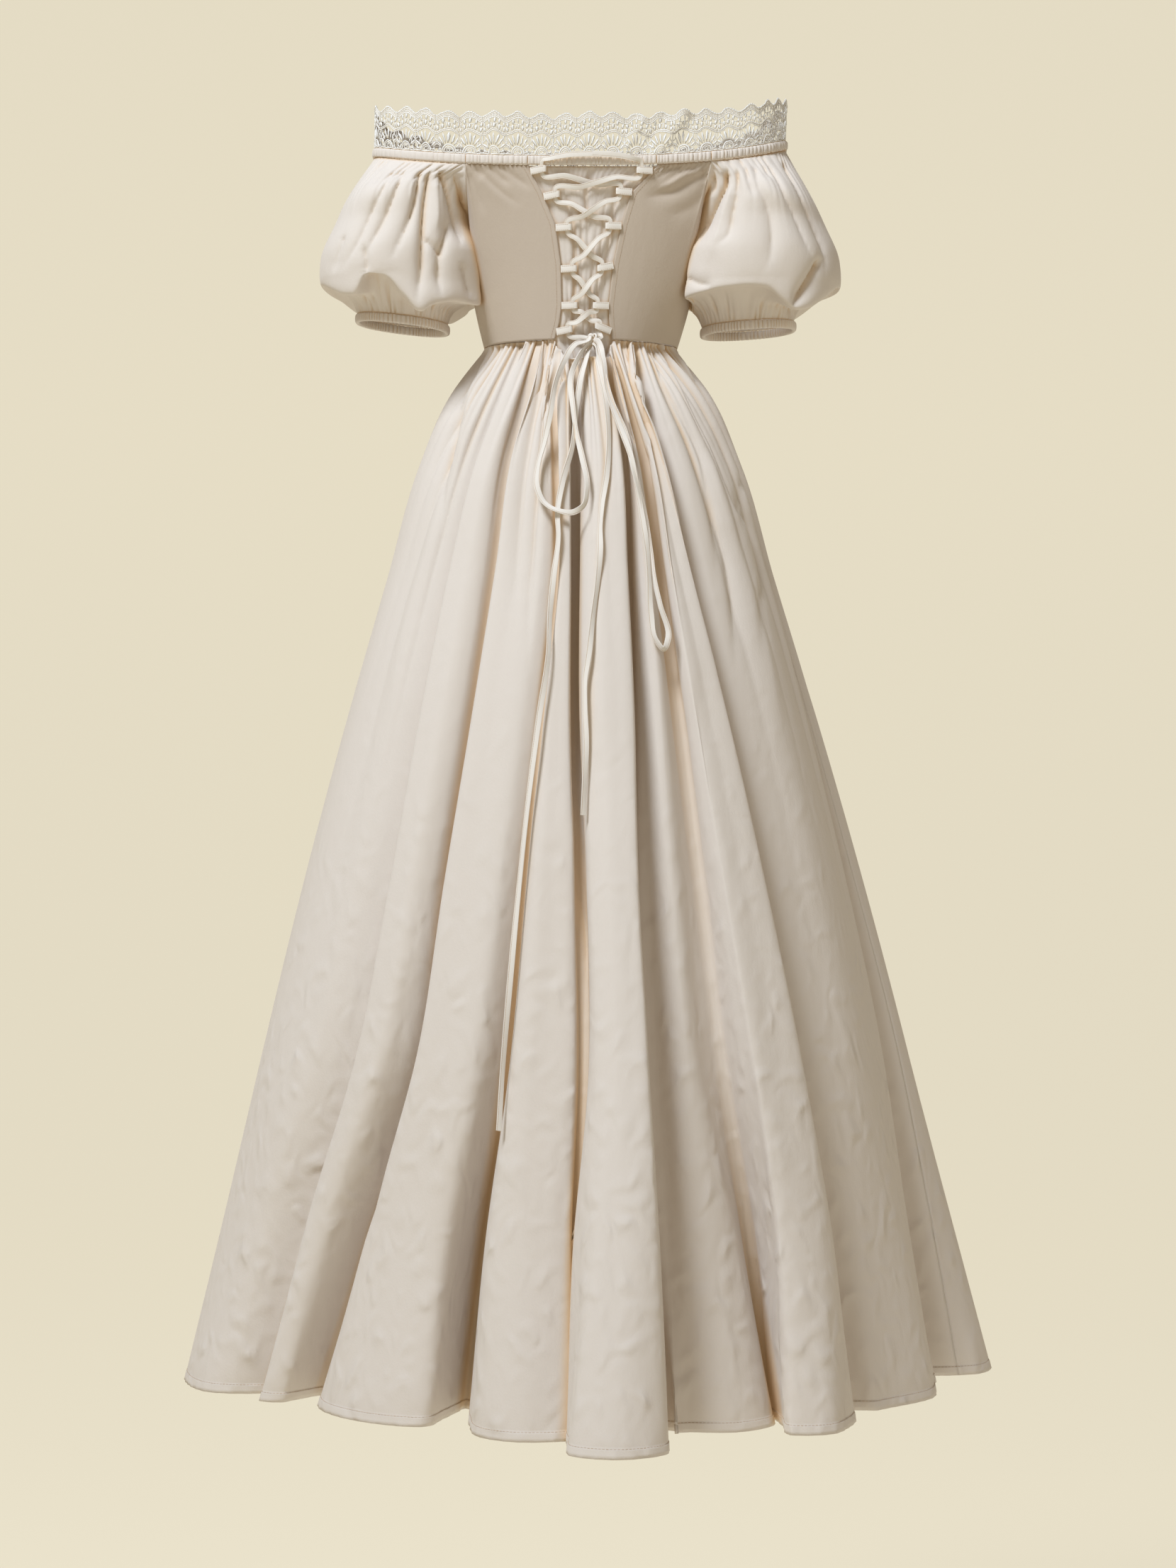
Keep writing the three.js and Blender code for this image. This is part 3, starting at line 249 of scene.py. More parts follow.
# Ties
TIE_WIDTH = 6.2
TIE_THICK = 1.3
LOOP_REACH = 17
LOOP_DEEP = 4.8
LOOP_WALL = 0.9
LOOP_HEIGHT = 7.6
LOOPS = [(-18, -17), (-45, -40), (-78, -76), (-122, -118), (-161, -161), (-189, -188)]
KNOT_X = 9
KNOT_Z = -197
KNOT_OFF = 8
STRANDS = {
    "bow_loop_left": [
        (5, -199, 14), (-9, -205, 12), (-22, -226, 11), (-31, -252, 11), (-36, -284, 10), (-42, -314, 10),
        (-49, -343, 10), (-50, -364, 10), (-43, -381, 10), (-28, -391, 10), (-12, -393, 9),
        (-1, -386, 7.5), (3, -370, 7), (-2, -334, 7), (-8, -307, 7), (-12, -277, 7), (-14, -242, 7),
        (-6, -220, 8.5), (4, -204, 11)],
    "bow_loop_right": [
        (13, -200, 16), (20, -222, 14.5), (25, -261, 11), (37, -297, 11), (50, -334, 11), (57, -371, 11),
        (62, -401, 11), (66, -430, 11), (68, -459, 11), (70, -501, 11), (75, -528, 9.8), (83, -538, 9),
        (88, -526, 8.2), (80, -492, 7.8), (73, -460, 7.8), (69, -430, 7.8), (64, -394, 7.8),
        (52, -345, 7.8), (44, -307, 7.8), (30, -272, 7.8), (21, -240, 8.4), (17, -222, 10), (11, -204, 13)],
    "tie_end_left": [
        (6, -205, 7), (2, -222, 4), (-3, -241, 3), (-8, -275, 3), (-13, -323, 3), (-23, -360, 3),
        (-28, -394, 3), (-27, -418, 3), (-32, -461, 3), (-36, -504, 3), (-37, -540, 3), (-47, -612, 3),
        (-59, -710, 3), (-68, -799, 3), (-76, -886, 3), (-83, -973, 3), (-86, -1029, 3)],
    "tie_end_right": [
        (12, -205, 7), (15, -226, 3.4), (23, -269, 2.8), (26, -312, 2.8), (24, -350, 2.8), (19, -384, 2.8),
        (17, -410, 2.8), (17, -430, 2.8), (14, -466, 2.8), (9, -504, 2.8), (5, -542, 2.8),
        (1, -572, 2.8), (1, -601, 2.8), (2, -637, 2.8), (0, -685, 2.8), (-1, -711, 2.8)],
}


# Camera

def make_camera():
    camera = bpy.data.cameras.new("camera")
    camera.lens = 78.7
    camera.sensor_width = 36
    camera.clip_end = 50
    holder = bpy.data.objects.new("camera", camera)
    holder.location = (0.004, -3.8, -0.679)
    holder.rotation_euler = (math.radians(90), 0, 0)
    bpy.context.scene.collection.objects.link(holder)
    bpy.context.scene.camera = holder


make_camera()


# Helpers on rows of numbers

def power(value, p):
    return np.sign(value) * np.abs(value) ** p


def smooth(t):
    t = np.clip(t, 0, 1)
    return t * t * (3 - 2 * t)


def unit(v):
    return v / np.maximum(np.linalg.norm(v, axis=-1, keepdims=True), 1e-9)


def slopes(t, p):
    """Tangents of a smooth curve through the points p at the values t, along the first axis."""
    step = np.diff(t, axis=0)
    rate = np.diff(p, axis=0) / step
    m = np.empty_like(p)
    m[0], m[-1] = rate[0], rate[-1]
    m[1:-1] = (rate[:-1] * step[1:] + rate[1:] * step[:-1]) / (step[1:] + step[:-1])
    return m


def hermite(s, h, p, q, m, n):
    """The smooth curve from p to q, with the slopes m and n there, at the share s of a step h."""
    return ((2 * s**3 - 3 * s**2 + 1) * p + (s**3 - 2 * s**2 + s) * h * m
            + (3 * s**2 - 2 * s**3) * q + (s**3 - s**2) * h * n)


def curve_through(t, p, at):
    """The smooth curve through p at the values t, evaluated at the rising values at. p is (n, k)."""
    t, p, at = np.asarray(t, float), np.asarray(p, float), np.asarray(at, float)
    m = slopes(t[:, None] * np.ones(p.shape[1]), p)
    i = np.clip(np.searchsorted(t, at, side="right") - 1, 0, len(t) - 2)
    h = (t[i + 1] - t[i])[:, None]
    s = np.clip((at - t[i])[:, None] / h, 0, 1)
    return hermite(s, h, p[i], p[i + 1], m[i], m[i + 1])


def run_of(points, bend=1):
    """Distance run at each point of a line, from 0. bend is the power each step is raised to."""
    return np.concatenate([[0], np.cumsum(np.linalg.norm(np.diff(points, axis=0), axis=1) ** bend)])


def row_steps(grid):
    """Lengths of the steps round each row of a closed grid."""
    return np.linalg.norm(np.diff(grid, axis=1, append=grid[:, :1]), axis=2)


def resample(points, step):
    """A smooth line through points, cut into even steps."""
    points = np.asarray(points, float)
    t = run_of(points)
    fine = curve_through(t, points, np.linspace(0, t[-1], 40 * len(points)))
    s = run_of(fine)
    even = np.linspace(0, s[-1], max(3, int(round(s[-1] / step)) + 1))
    return np.stack([np.interp(even, s, fine[:, k]) for k in range(fine.shape[1])], axis=1)


# Meshes

def piece(name, points, faces, material, nodes=(), slot="cotton"):
    """A mesh piece from points in millimetres. It rides on the frame and stands for the CAD nodes."""
    mesh = bpy.data.meshes.new(name)
    faces = faces if isinstance(faces, list) else faces.tolist()
    mesh.from_pydata((np.asarray(points) * MM).tolist(), [], faces)
    mesh.polygons.foreach_set("use_smooth", np.ones(len(mesh.polygons), bool))
    if slot == "tie":
        mesh.set_sharp_from_angle(angle=math.radians(EDGE_ANGLE))
    mesh.materials.append(material)
    obj = bpy.data.objects.new(name + "_soft", mesh)
    bpy.context.scene.collection.objects.link(obj)
    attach(obj, "root")
    if nodes:
        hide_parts(*nodes)
    return obj


def grid_normals(outer, closed):
    """Directions square to a grid of points."""
    if closed:
        across = np.roll(outer, -1, axis=1) - np.roll(outer, 1, axis=1)
    else:
        across = np.gradient(outer, axis=1)
    return unit(np.cross(across, np.gradient(outer, axis=0)))


def outward_sign(outer, normals, core):
    """1 where the normals point away from the core, else -1."""
    return np.sign(np.sum(normals * (outer - core)))


def shell(outer, thick, core, closed=False):
    """Points and faces of a thin shell: an outer grid of points, and the same grid moved inwards."""
    rows, columns = outer.shape[:2]
    normals = grid_normals(outer, closed)
    sign = outward_sign(outer, normals, core)
    inner = outer - normals * sign * thick
    points = np.concatenate([outer.reshape(-1, 3), inner.reshape(-1, 3)])
    spans = columns if closed else columns - 1
    i, j = np.meshgrid(np.arange(rows - 1), np.arange(spans), indexing="ij")
    k = (j + 1) % columns
    a, b, c, d = i * columns + j, i * columns + k, (i + 1) * columns + k, (i + 1) * columns + j
    front = np.stack([a, b, c, d], axis=-1).reshape(-1, 4)
    if sign < 0:
        front = front[:, ::-1]
    total = rows * columns
    faces = [front, front[:, ::-1] + total]
    edge = np.arange(spans)
    following = (edge + 1) % columns
    last = (rows - 1) * columns
    top = np.stack([edge, following, following + total, edge + total], axis=1)
    foot = np.stack([edge + last, edge + last + total, following + last + total, following + last], axis=1)
    rims = [top[:, ::-1], foot[:, ::-1]]
    if not closed:
        r = np.arange(rows - 1) * columns
        e = r + columns - 1
        rims.append(np.stack([r, r + total, r + columns + total, r + columns], axis=1)[:, ::-1])
        rims.append(np.stack([e, e + columns, e + columns + total, e + total], axis=1)[:, ::-1])
    for rim in rims:
        faces.append(rim if sign > 0 else rim[:, ::-1])
    return points, np.concatenate(faces)


def tube(path, outs, ups, section, closed=False):
    """A section of (out, up) offsets carried along a path. section may differ at each station."""
    section = np.asarray(section, float)
    if section.ndim == 2:
        section = np.broadcast_to(section, (len(path),) + section.shape)
    sides = section.shape[1]
    points = (path[:, None] + outs[:, None] * section[:, :, :1] + ups[:, None] * section[:, :, 1:])
    count = len(path)
    spans = count if closed else count - 1
    i, k = np.meshgrid(np.arange(spans), np.arange(sides), indexing="ij")
    n, l = (i + 1) % count, (k + 1) % sides
    faces = np.stack([i * sides + k, i * sides + l, n * sides + l, n * sides + k], axis=-1).reshape(-1, 4)
    faces = faces.tolist()
    if not closed:
        faces.append(list(range(sides))[::-1])
        faces.append(list(range((count - 1) * sides, count * sides)))
    return points.reshape(-1, 3), faces


def cut(obj, outer, closed=False):
    """Declares a piece as a sheet: its widest row by its mean length, with its own flat area."""
    # Closes the rows of a closed grid; nothing more is done with the piece or the grid.
    if closed:
        outer = np.concatenate([outer, outer[:, :1]], axis=1)


def panel(name, outer, material, thick=CLOTH):
    """A thin piece of open cloth with its outer face on the grid."""
    points, faces = shell(outer, thick, outer * [0, 0, 1])
    cut(piece(name, points, faces, material, [name]), outer)


class Joined:
    """Several small meshes in one piece."""

    def __init__(self):
        self.points, self.faces, self.count = [], [], 0

    def add(self, points, faces):
        self.points.append(np.asarray(points, float))
        self.faces += [[v + self.count for v in f] for f in faces]
        self.count += len(points)

    def piece(self, name, material, nodes=(), slot="cotton"):
        return piece(name, np.concatenate(self.points), self.faces, material, nodes, slot)


# Materials

def cloth_material(name, colour, weave=0.25, glow=0.16, slub=0.3, crumple=0.0, fold_reach=0.016,
                   painted_fold_glow=0.07):
    """Plain-woven cloth: a little light comes through it, with slubs and fine crumples as bump, and painted
    warm shade with a faint painted glow where folds close in.
    """
    material = bpy.data.materials.new(name)
    material.use_nodes = True
    nodes, links = material.node_tree.nodes, material.node_tree.links
    nodes.clear()

    def node(kind, **values):
        made = nodes.new("ShaderNode" + kind)
        for key, value in values.items():
            made.inputs[key.replace("_", " ")].default_value = value
        return made

    def join(source, target, socket, output=0):
        links.new(source.outputs[output], target.inputs[socket])

    def mixed(first, second):
        made = node("MixShader")
        join(first, made, 1)
        join(second, made, 2)
        return made

    def bump(height, strength, distance, before):
        made = node("Bump", Strength=strength, Distance=distance)
        join(height, made, "Height")
        if before:
            join(before, made, "Normal")
        return made

    red, green, blue = colour
    base = node("BsdfPrincipled", Base_Color=(*colour, 1), Roughness=0.9, Specular_IOR_Level=0.12,
                Sheen_Weight=0.15, Sheen_Roughness=0.6)
    through = node("BsdfTranslucent", Color=(red, green * 0.84, blue * 0.62, 1))
    mix = mixed(base, through)
    mix.inputs["Fac"].default_value = glow
    # painted shade and painted glow: between close folds, found by ambient occlusion, a darker warm tan and
    # a faint emission are mixed in, for the shade there and the warm light that has passed through the
    # cloth
    corner = node("AmbientOcclusion", Distance=fold_reach)
    corner.samples = 6
    depth = node("MapRange", From_Min=0.82, From_Max=0.25, To_Min=0, To_Max=0.85)
    join(corner, depth, "Value", "AO")
    shade = node("AddShader")
    join(node("BsdfDiffuse", Color=(red * 0.84, green * 0.66, blue * 0.43, 1)), shade, 0)
    join(node("Emission", Color=(0.74, 0.54, 0.29, 1), Strength=painted_fold_glow), shade, 1)
    folded = mixed(mix, shade)
    join(depth, folded, "Fac")
    join(folded, node("OutputMaterial"), "Surface")
    # the weave's mottle, then slubs drawn out upright
    place = node("TexCoord")
    mottle = node("TexNoise", Scale=420, Detail=4, Roughness=0.6)
    join(place, mottle, "Vector", "Object")
    stretch = node("Mapping", Scale=(1, 1, 0.35))
    join(place, stretch, "Vector", "Object")
    wide = node("TexNoise", Scale=90, Detail=3)
    join(stretch, wide, "Vector")
    last = bump(wide, slub, 0.0015, bump(mottle, weave, 0.0008, None))
    if crumple:
        # crumples that lean, faint above and clear towards the hem
        lean = node("Mapping", Rotation=(0, math.radians(35), 0), Scale=(1, 1, 0.7))
        join(place, lean, "Vector", "Object")
        folds = node("TexNoise", Scale=46, Detail=4, Roughness=0.5, Distortion=0.3)
        folds.noise_type = "RIDGED_MULTIFRACTAL"
        join(lean, folds, "Vector")
        split = node("SeparateXYZ")
        join(place, split, 0, "Object")
        lower = node("MapRange", From_Min=-0.60, From_Max=-1.05, To_Min=0.15, To_Max=1)
        join(split, lower, "Value", "Z")
        weighed = node("Math")
        weighed.operation = "MULTIPLY"
        join(folds, weighed, 0)
        join(lower, weighed, 1)
        last = bump(weighed, crumple, 0.005, last)
    join(last, base, "Normal")
    return material


def thread_material(name, colour, glow, fold_reach):
    return cloth_material(name, colour, weave=0, slub=0, glow=glow, fold_reach=fold_reach, painted_fold_glow=0)


COTTON = cloth_material("cotton", (0.80, 0.745, 0.69), crumple=0.85)
COTTON_PLAIN = cloth_material("cotton_plain", (0.80, 0.745, 0.69), crumple=0.06, fold_reach=0.008)
# painted shade: the bodice is the same cotton, coloured darker and warmer for the shade on its upright
# faces
COTTON_PAINTED_SHADE = cloth_material("cotton_painted_shade", (0.54, 0.46, 0.38), crumple=0.04, glow=0.04, fold_reach=0.008)
TIE_CLOTH = cloth_material("tie", (0.81, 0.77, 0.715), weave=0.15, slub=0.15, glow=0.08, fold_reach=0.003)
LACE_THREAD = thread_material("lace", (0.84, 0.84, 0.83), 0.04, 0.003)
# painted shade: a darker copy of the lace thread, for the repeats at the front, which lie in shade behind
# the band
LACE_PAINTED_SHADE = thread_material("lace_painted_shade", (0.58, 0.53, 0.46), 0, 0.003)
THREAD = thread_material("thread", (0.56, 0.45, 0.34), 0, 0.002)


# Neckline, sampled evenly along its length from the middle of the back towards +X

def neck_samples():
    """Points along the neckline."""
    a = np.linspace(0, TURN, NECK_SAMPLES)
    x = NECK_CENTRE + NECK_HALF * power(np.sin(a), NECK_BEND)
    deep = np.where(np.cos(a) > 0, NECK_BACK, NECK_FRONT)
    y = -deep * power(np.cos(a), NECK_BEND)
    side = np.where(x > NECK_CENTRE, NECK_Z_RIGHT, NECK_Z_LEFT)
    low = np.where(y < 0, NECK_Z_BACK, NECK_Z_FRONT)
    z = side + (low - side) * np.minimum(1, np.abs(y) / deep) ** NECK_RISE
    return np.stack([x, y, z], axis=1)


NECK = neck_samples()
NECK_S = run_of(NECK)
NECK_LENGTH = NECK_S[-1]


def neck_at(s):
    """The place at a distance along the neckline."""
    s = np.mod(s, NECK_LENGTH)
    return np.stack([np.interp(s, NECK_S, NECK[:, k]) for k in range(3)], axis=-1)


def neck_out(s):
    """The level direction outwards at a distance along the neckline."""
    along = neck_at(np.asarray(s) + 1) - neck_at(np.asarray(s) - 1)
    along[..., 2] = 0
    along = unit(along)
    return np.stack([along[..., 1], -along[..., 0], np.zeros_like(along[..., 0])], axis=-1)


def neck_s_at_x(x, front):
    """The distance along the neckline at which its front or back crosses x."""
    half = NECK[:-1, 1] > 0 if front else NECK[:-1, 1] <= 0
    far = np.where(half, np.abs(NECK[:-1, 0] - x), np.inf)
    s = NECK_S[int(np.argmin(far))]
    return s - NECK_LENGTH if s > NECK_LENGTH / 2 and not front else s


JOIN = {
    "back_left": neck_s_at_x(JOIN_BACK_LEFT, False),
    "open_left": neck_s_at_x(OPENING[0, 1], False),
    "open_right": neck_s_at_x(OPENING[0, 2], False),
    "back_right": neck_s_at_x(JOIN_BACK_RIGHT, False),
    "front_right": neck_s_at_x(JOIN_FRONT, True),
    "front_left": neck_s_at_x(-JOIN_FRONT, True),
}
UP = np.array([0, 0, 1.0])


# Skirt

def ellipse(level):
    """Middle, half width and depths of the skirt's mean outline at each level."""
    out = FLARE[level]
    half = WAIST_HALF + (HEM_HALF - WAIST_HALF) * out
    back = WAIST_DEEP + (HEM_BACK - WAIST_DEEP) * out
    front = WAIST_DEEP + (HEM_FRONT - WAIST_DEEP) * out
    return WAIST_CENTRE * (1 - out), half, back, front


def hem_controls():
    """Angle and reach, in shares of the mean outline, of the hem's six points for each fold."""
    rows = []
    for k, (crest, out, wide, valley, inner) in enumerate(FOLDS):
        before = FOLDS[k - 1]
        valley_before = before[3] - (360 if k == 0 else 0)
        rows += [
            (valley_before + (crest - wide - valley_before) * 0.6, (before[4] + out) / 2),
            (crest - wide, out * 0.96), (crest, out), (crest + wide, out * 0.96),
            (crest + wide + (valley - crest - wide) * 0.4, (out + inner) / 2), (valley, inner)]
    rows = np.array(rows)
    at, r = np.radians(rows[:, 0]), rows[:, 1]
    x, y = r * np.sin(at), -r * np.cos(at)
    deep = np.where(y < 0, HEM_BACK, HEM_FRONT)
    angle = np.degrees(np.arctan2(x / HEM_HALF, -y / deep))
    angle += 360 * np.round((rows[:, 0] - angle) / 360)
    return angle, np.hypot(x / HEM_HALF, y / deep)


def level_controls(level, hem_share):
    """The same points at a level above the hem, from the valleys' angles and depths there."""
    _, half, back, _ = ellipse(level)
    growth = RIDGE_GROWTH[level]
    reach = (half + back) / 2
    angle, share = [], []
    for k in range(len(FOLDS)):
        before = VALLEYS[k - 1]
        here = VALLEYS[k]
        start = before[0][level] - (360 if k == 0 else 0)
        end = here[0][level]
        gap = end - start
        ridge = 1 + (hem_share[k * 6 + 2] - 1) * growth
        more = VALLEY_MORE[level]
        deep_before, deep_here = (before[2][level] + more) / reach, (here[2][level] + more) / reach
        near, mid, far = 0.10, 0.24, 0.42
        first = {1: near, 0: mid, -1: far}[before[1]]
        last = {-1: near, 0: mid, 1: far}[here[1]]
        a = start + gap * first
        b = end - gap * last
        angle += [start + gap * first * 0.42, a, (a + b) / 2, b, end - gap * last * 0.42, end]
        share += [ridge - deep_before * 0.48, ridge - deep_before * 0.05, ridge,
                  ridge - deep_here * 0.05, ridge - deep_here * 0.48,
                  (ridge + 1 + (hem_share[(k * 6 + 8) % len(hem_share)] - 1) * growth) / 2 - deep_here]
    return np.array(angle), np.array(share)


def skirt_levels():
    """(levels, columns, x and y) of the skirt's control points."""
    hem_angle, hem_share = hem_controls()
    rows = []
    for level in range(len(LEVELS)):
        centre, half, back, front = ellipse(level)
        if level == len(LEVELS) - 1:
            angle, share = hem_angle, hem_share
        else:
            angle, share = level_controls(level, hem_share)
            if level == len(LEVELS) - 2:
                angle = angle * 0.5 + 0.5 * hem_angle
                share = share * 0.5 + 0.5 * hem_share
        a = np.radians(angle)
        deep = np.where(np.cos(a) > 0, back, front)
        rows.append(np.stack([centre + half * share * np.sin(a), -deep * share * np.cos(a)], axis=1))
    return np.array(rows)


def span_columns():
    """Columns for each span between control points, by its length at the waist and further down."""
    control = skirt_levels()
    long = np.linalg.norm(np.roll(control, -1, axis=1) - control, axis=2)
    counts = []
    for total, part in ((BACK_COLUMNS, long[:, :BACK_SPANS]), (FRONT_COLUMNS, long[:, BACK_SPANS:])):
        share = part / part.sum(axis=1, keepdims=True)
        share = 0.5 * share[0] + 0.25 * share[4] + 0.25 * share[-1]
        counts += [max(3, int(round(total * v))) for v in share]
    return counts


SPAN_COLUMNS = span_columns()


def fold_column(fold):
    """The column of the skirt's grid at the bottom of a fold's valley."""
    return sum(SPAN_COLUMNS[:fold * 6 + 5])


def skirt_grid():
    """The skirt's outer face as a closed grid of points, with its gathers and creases."""
    control = skirt_levels()
    columns = control.shape[1]
    # between columns, a smooth closed line at each level
    wrapped = np.concatenate([control[:, -2:], control, control[:, :3]], axis=1)
    around = []
    for row in wrapped:
        t = run_of(row, 0.8)
        at = np.concatenate([t[i] + (t[i + 1] - t[i]) * np.arange(n) / n
                             for i, n in zip(range(2, columns + 2), SPAN_COLUMNS)])
        around.append(curve_through(t, row, at))
    around = np.array(around)
    top = around[0]
    in_back = top[:, 1] < 0
    top_z = np.where(in_back, np.interp(top[:, 0], NOTCH[:, 0], NOTCH[:, 1]), WAIST_Z) - 0.3
    share = np.linspace(0, 1, SKIRT_ROWS) ** 1.55
    share = np.concatenate([share[:-2], 1 - HEM_ROWS / (WAIST_Z - HEM_Z)])
    z = top_z[None] + (HEM_Z - top_z[None]) * share[:, None]
    grid = np.empty((len(share), around.shape[1], 3))
    m = slopes(LEVELS[::-1, None, None] * np.ones_like(around), around[::-1])[::-1]
    up_levels = LEVELS[::-1]
    for j in range(around.shape[1]):
        i = np.clip(np.searchsorted(up_levels, z[:, j], side="right") - 1, 0, len(LEVELS) - 2)
        h = (up_levels[i + 1] - up_levels[i])[:, None]
        s = np.clip((z[:, j] - up_levels[i])[:, None] / h, 0, 1)
        p, q = around[::-1, j], m[::-1, j]
        grid[:, j, :2] = hermite(s, h, p[i], p[i + 1], q[i], q[i + 1])
    grid[:, :, 2] = z
    return grid


def creased(grid, lines):
    """A closed grid moved along its normals by troughs, with a puckered hem. A trough has its place, depth
    and width at every row, how sharp it is, and its lean: how much wider one side of it is than the other,
    the side after its line, or the one before it where negative."""
    normals = grid_normals(grid, True)
    normals *= outward_sign(grid, normals, grid.mean(axis=(0, 1)) * [1, 1, 0] + grid[..., 2:] * [0, 0, 1])
    normals[..., 2] = 0
    normals = unit(normals)
    step = row_steps(grid)
    s = np.cumsum(step, axis=1) - step
    length = step.sum(axis=1)
    push = np.zeros(grid.shape[:2])
    for at, depth, width, sharp, lean in lines:
        away = (s - at[:, None] + length[:, None] / 2) % length[:, None] - length[:, None] / 2
        side = width[:, None] * np.where(away * lean > 0, abs(lean), 1)
        push -= depth[:, None] * np.exp(-(np.abs(away) / side) ** sharp)
    pucker = np.sin(s[-1] / 2.9 + 2 * np.sin(s[-1] / 31))
    push[-5] -= HEM_STEP
    push[-4:] += HEM_STEP * (1 + pucker)
    return grid + normals * push[..., None]


def column_s(grid, column):
    """Distance round each row to a column, which may lie between two."""
    s = np.concatenate([np.zeros((len(grid), 1)), np.cumsum(row_steps(grid), axis=1)], axis=1)
    i = int(column)
    return s[:, i] + (s[:, i + 1] - s[:, i]) * (column - i)


def gather_lines(grid):
    """Gathers below the waist: those listed on the back, and others turned about for the front."""
    lines = []
    down = WAIST_Z - grid[:, :, 2].mean(axis=1)
    top = grid[0]
    count = grid.shape[1]
    jitter = RANDOM.uniform(-1.5, 1.5, len(GATHERS))
    for back in (True, False):
        for k, (x, deep, run) in enumerate(GATHERS):
            place = x if back else -x + jitter[k]
            side = top[:, 1] < 0 if back else top[:, 1] >= 0
            far = np.where(side, np.abs(top[:, 0] - place), np.inf)
            column = int(np.argmin(far)) % (count - 1)
            depth = GATHER_DEPTH * deep * smooth(down / 7) * np.exp(-(down / (GATHER_RUN * run)) ** 1.4)
            width = 2.3 + down * 0.045
            lines.append((column_s(grid, column), depth, width, 1.05, 1))
    return lines


def soft_lines(grid):
    """Soft creases: the back's own, and the same ones turned about for the front."""
    lines = []
    z = grid[:, :, 2].mean(axis=1)
    step = row_steps(grid)
    s = np.cumsum(step, axis=1) - step
    for back in (True, False):
        for deep, wide, lean, path in SOFT_CREASES + TRACED_FOLDS:
            xs = np.array([p[0] for p in path], float) * (1 if back else -1)
            zs = np.array([p[1] for p in path], float)
            x = np.interp(-z, -zs, xs)
            fade = smooth((zs[0] + 60 - z) / 90) * smooth((z - zs[-1] + 130) / 160)
            fade = fade * smooth((WAIST_Z - z) / 12)
            at = np.zeros(len(grid))
            for i in range(len(grid)):
                side = grid[i, :, 1] < 0 if back else grid[i, :, 1] >= 0
                at[i] = s[i, int(np.argmin(np.where(side, np.abs(grid[i, :, 0] - x[i]), np.inf)))]
            at = np.convolve(np.pad(at, 4, mode="edge"), np.ones(9) / 9, "valid")
            wides = wide * (1 + (WAIST_Z - z) / 900)
            strong, sharp = (1, 1.3) if abs(lean) == 1 else (TRACED_DEPTH, 1.1)
            lines.append((at, strong * deep * fade, wides, sharp, lean if back else -lean))
    return lines


def recess_lines(grid):
    """Broad recesses between two folds."""
    lines = []
    z = grid[:, :, 2].mean(axis=1)
    for fold, rows in RECESSES:
        rows = np.array(rows, float)
        width, depth = (np.interp(-z, -rows[:, 0], rows[:, k]) for k in (1, 2))
        column = fold_column(fold)
        lines.append((column_s(grid, column), depth * smooth((WAIST_Z - z) / 40), width, 3.5, 1))
    return lines


def valley_lines(grid):
    """A narrow crease along each valley, steep towards the fold that stands steeper."""
    z = grid[:, :, 2].mean(axis=1)
    down = (WAIST_Z - z) / (WAIST_Z - HEM_Z)
    lines = []
    for fold, (_, side, _) in enumerate(VALLEYS):
        depth = VALLEY_CREASE * smooth(down / 0.05) * (1 - 0.35 * down)
        lean = -3 * side if side else 1
        lines.append((column_s(grid, fold_column(fold)), depth, 2.6 + 4 * down, 1.1, lean))
    return lines


SKIRT = skirt_grid()
SKIRT = creased(SKIRT, [line for lines_of in (gather_lines, soft_lines, recess_lines, valley_lines)
                        for line in lines_of(SKIRT)])


def skirt_back(x, z, reach=8):
    """The furthest back that the skirt's outer face comes near a place."""
    near = (np.abs(SKIRT[..., 0] - x) < reach) & (np.abs(SKIRT[..., 2] - z) < reach + 4)
    found = SKIRT[..., 1][near]
    return found.min() if len(found) else -WAIST_DEEP


def skirt_panel(name, first, last):
    """The skirt between two columns of its grid."""
    columns = np.arange(first, last + 1) % SKIRT.shape[1]
    panel(name, SKIRT[:, columns], COTTON)


SIDE_SEAM = sum(SPAN_COLUMNS[:BACK_SPANS])
skirt_panel("skirt_back", 0, SIDE_SEAM)
skirt_panel("skirt_front", SIDE_SEAM, SKIRT.shape[1])


# Bodice. across runs -1 to 1 from one side seam to the other, down 0 to 1 from casing to waist.

def bodice_top(across, front):
    """The bodice's upper edge: on the neckline, then round the armhole."""
    across = np.asarray(across, float)
    side = np.where(across < 0, -1.0, 1.0)
    right = JOIN["front_right"] if front else JOIN["back_right"]
    left = JOIN["front_left"] if front else JOIN["back_left"]
    middle = (right + left) / 2 if front else 0
    join = np.where(side > 0, right, left)
    share = np.abs(across) / NECK_SHARE
    on_neck = neck_at(middle + (join - middle) * np.minimum(share, 1)) - UP * CASING_FOOT
    turn = np.clip((share - 1) / (1 / NECK_SHARE - 1), 0, 1) * math.pi / 2
    corner = neck_at(join) - UP * CASING_FOOT
    x = corner[..., 0] + (side * UNDERARM_X - corner[..., 0]) * np.sin(turn)
    deep = np.abs(corner[..., 1])
    y = (1 if front else -1) * (deep + (SEAM_Y - deep) * (1 - np.cos(turn)))
    z = corner[..., 2] + (UNDERARM_Z - corner[..., 2]) * np.sin(turn)
    arm = np.stack([x, y, z], axis=-1)
    return np.where((share <= 1)[..., None], on_neck, arm)


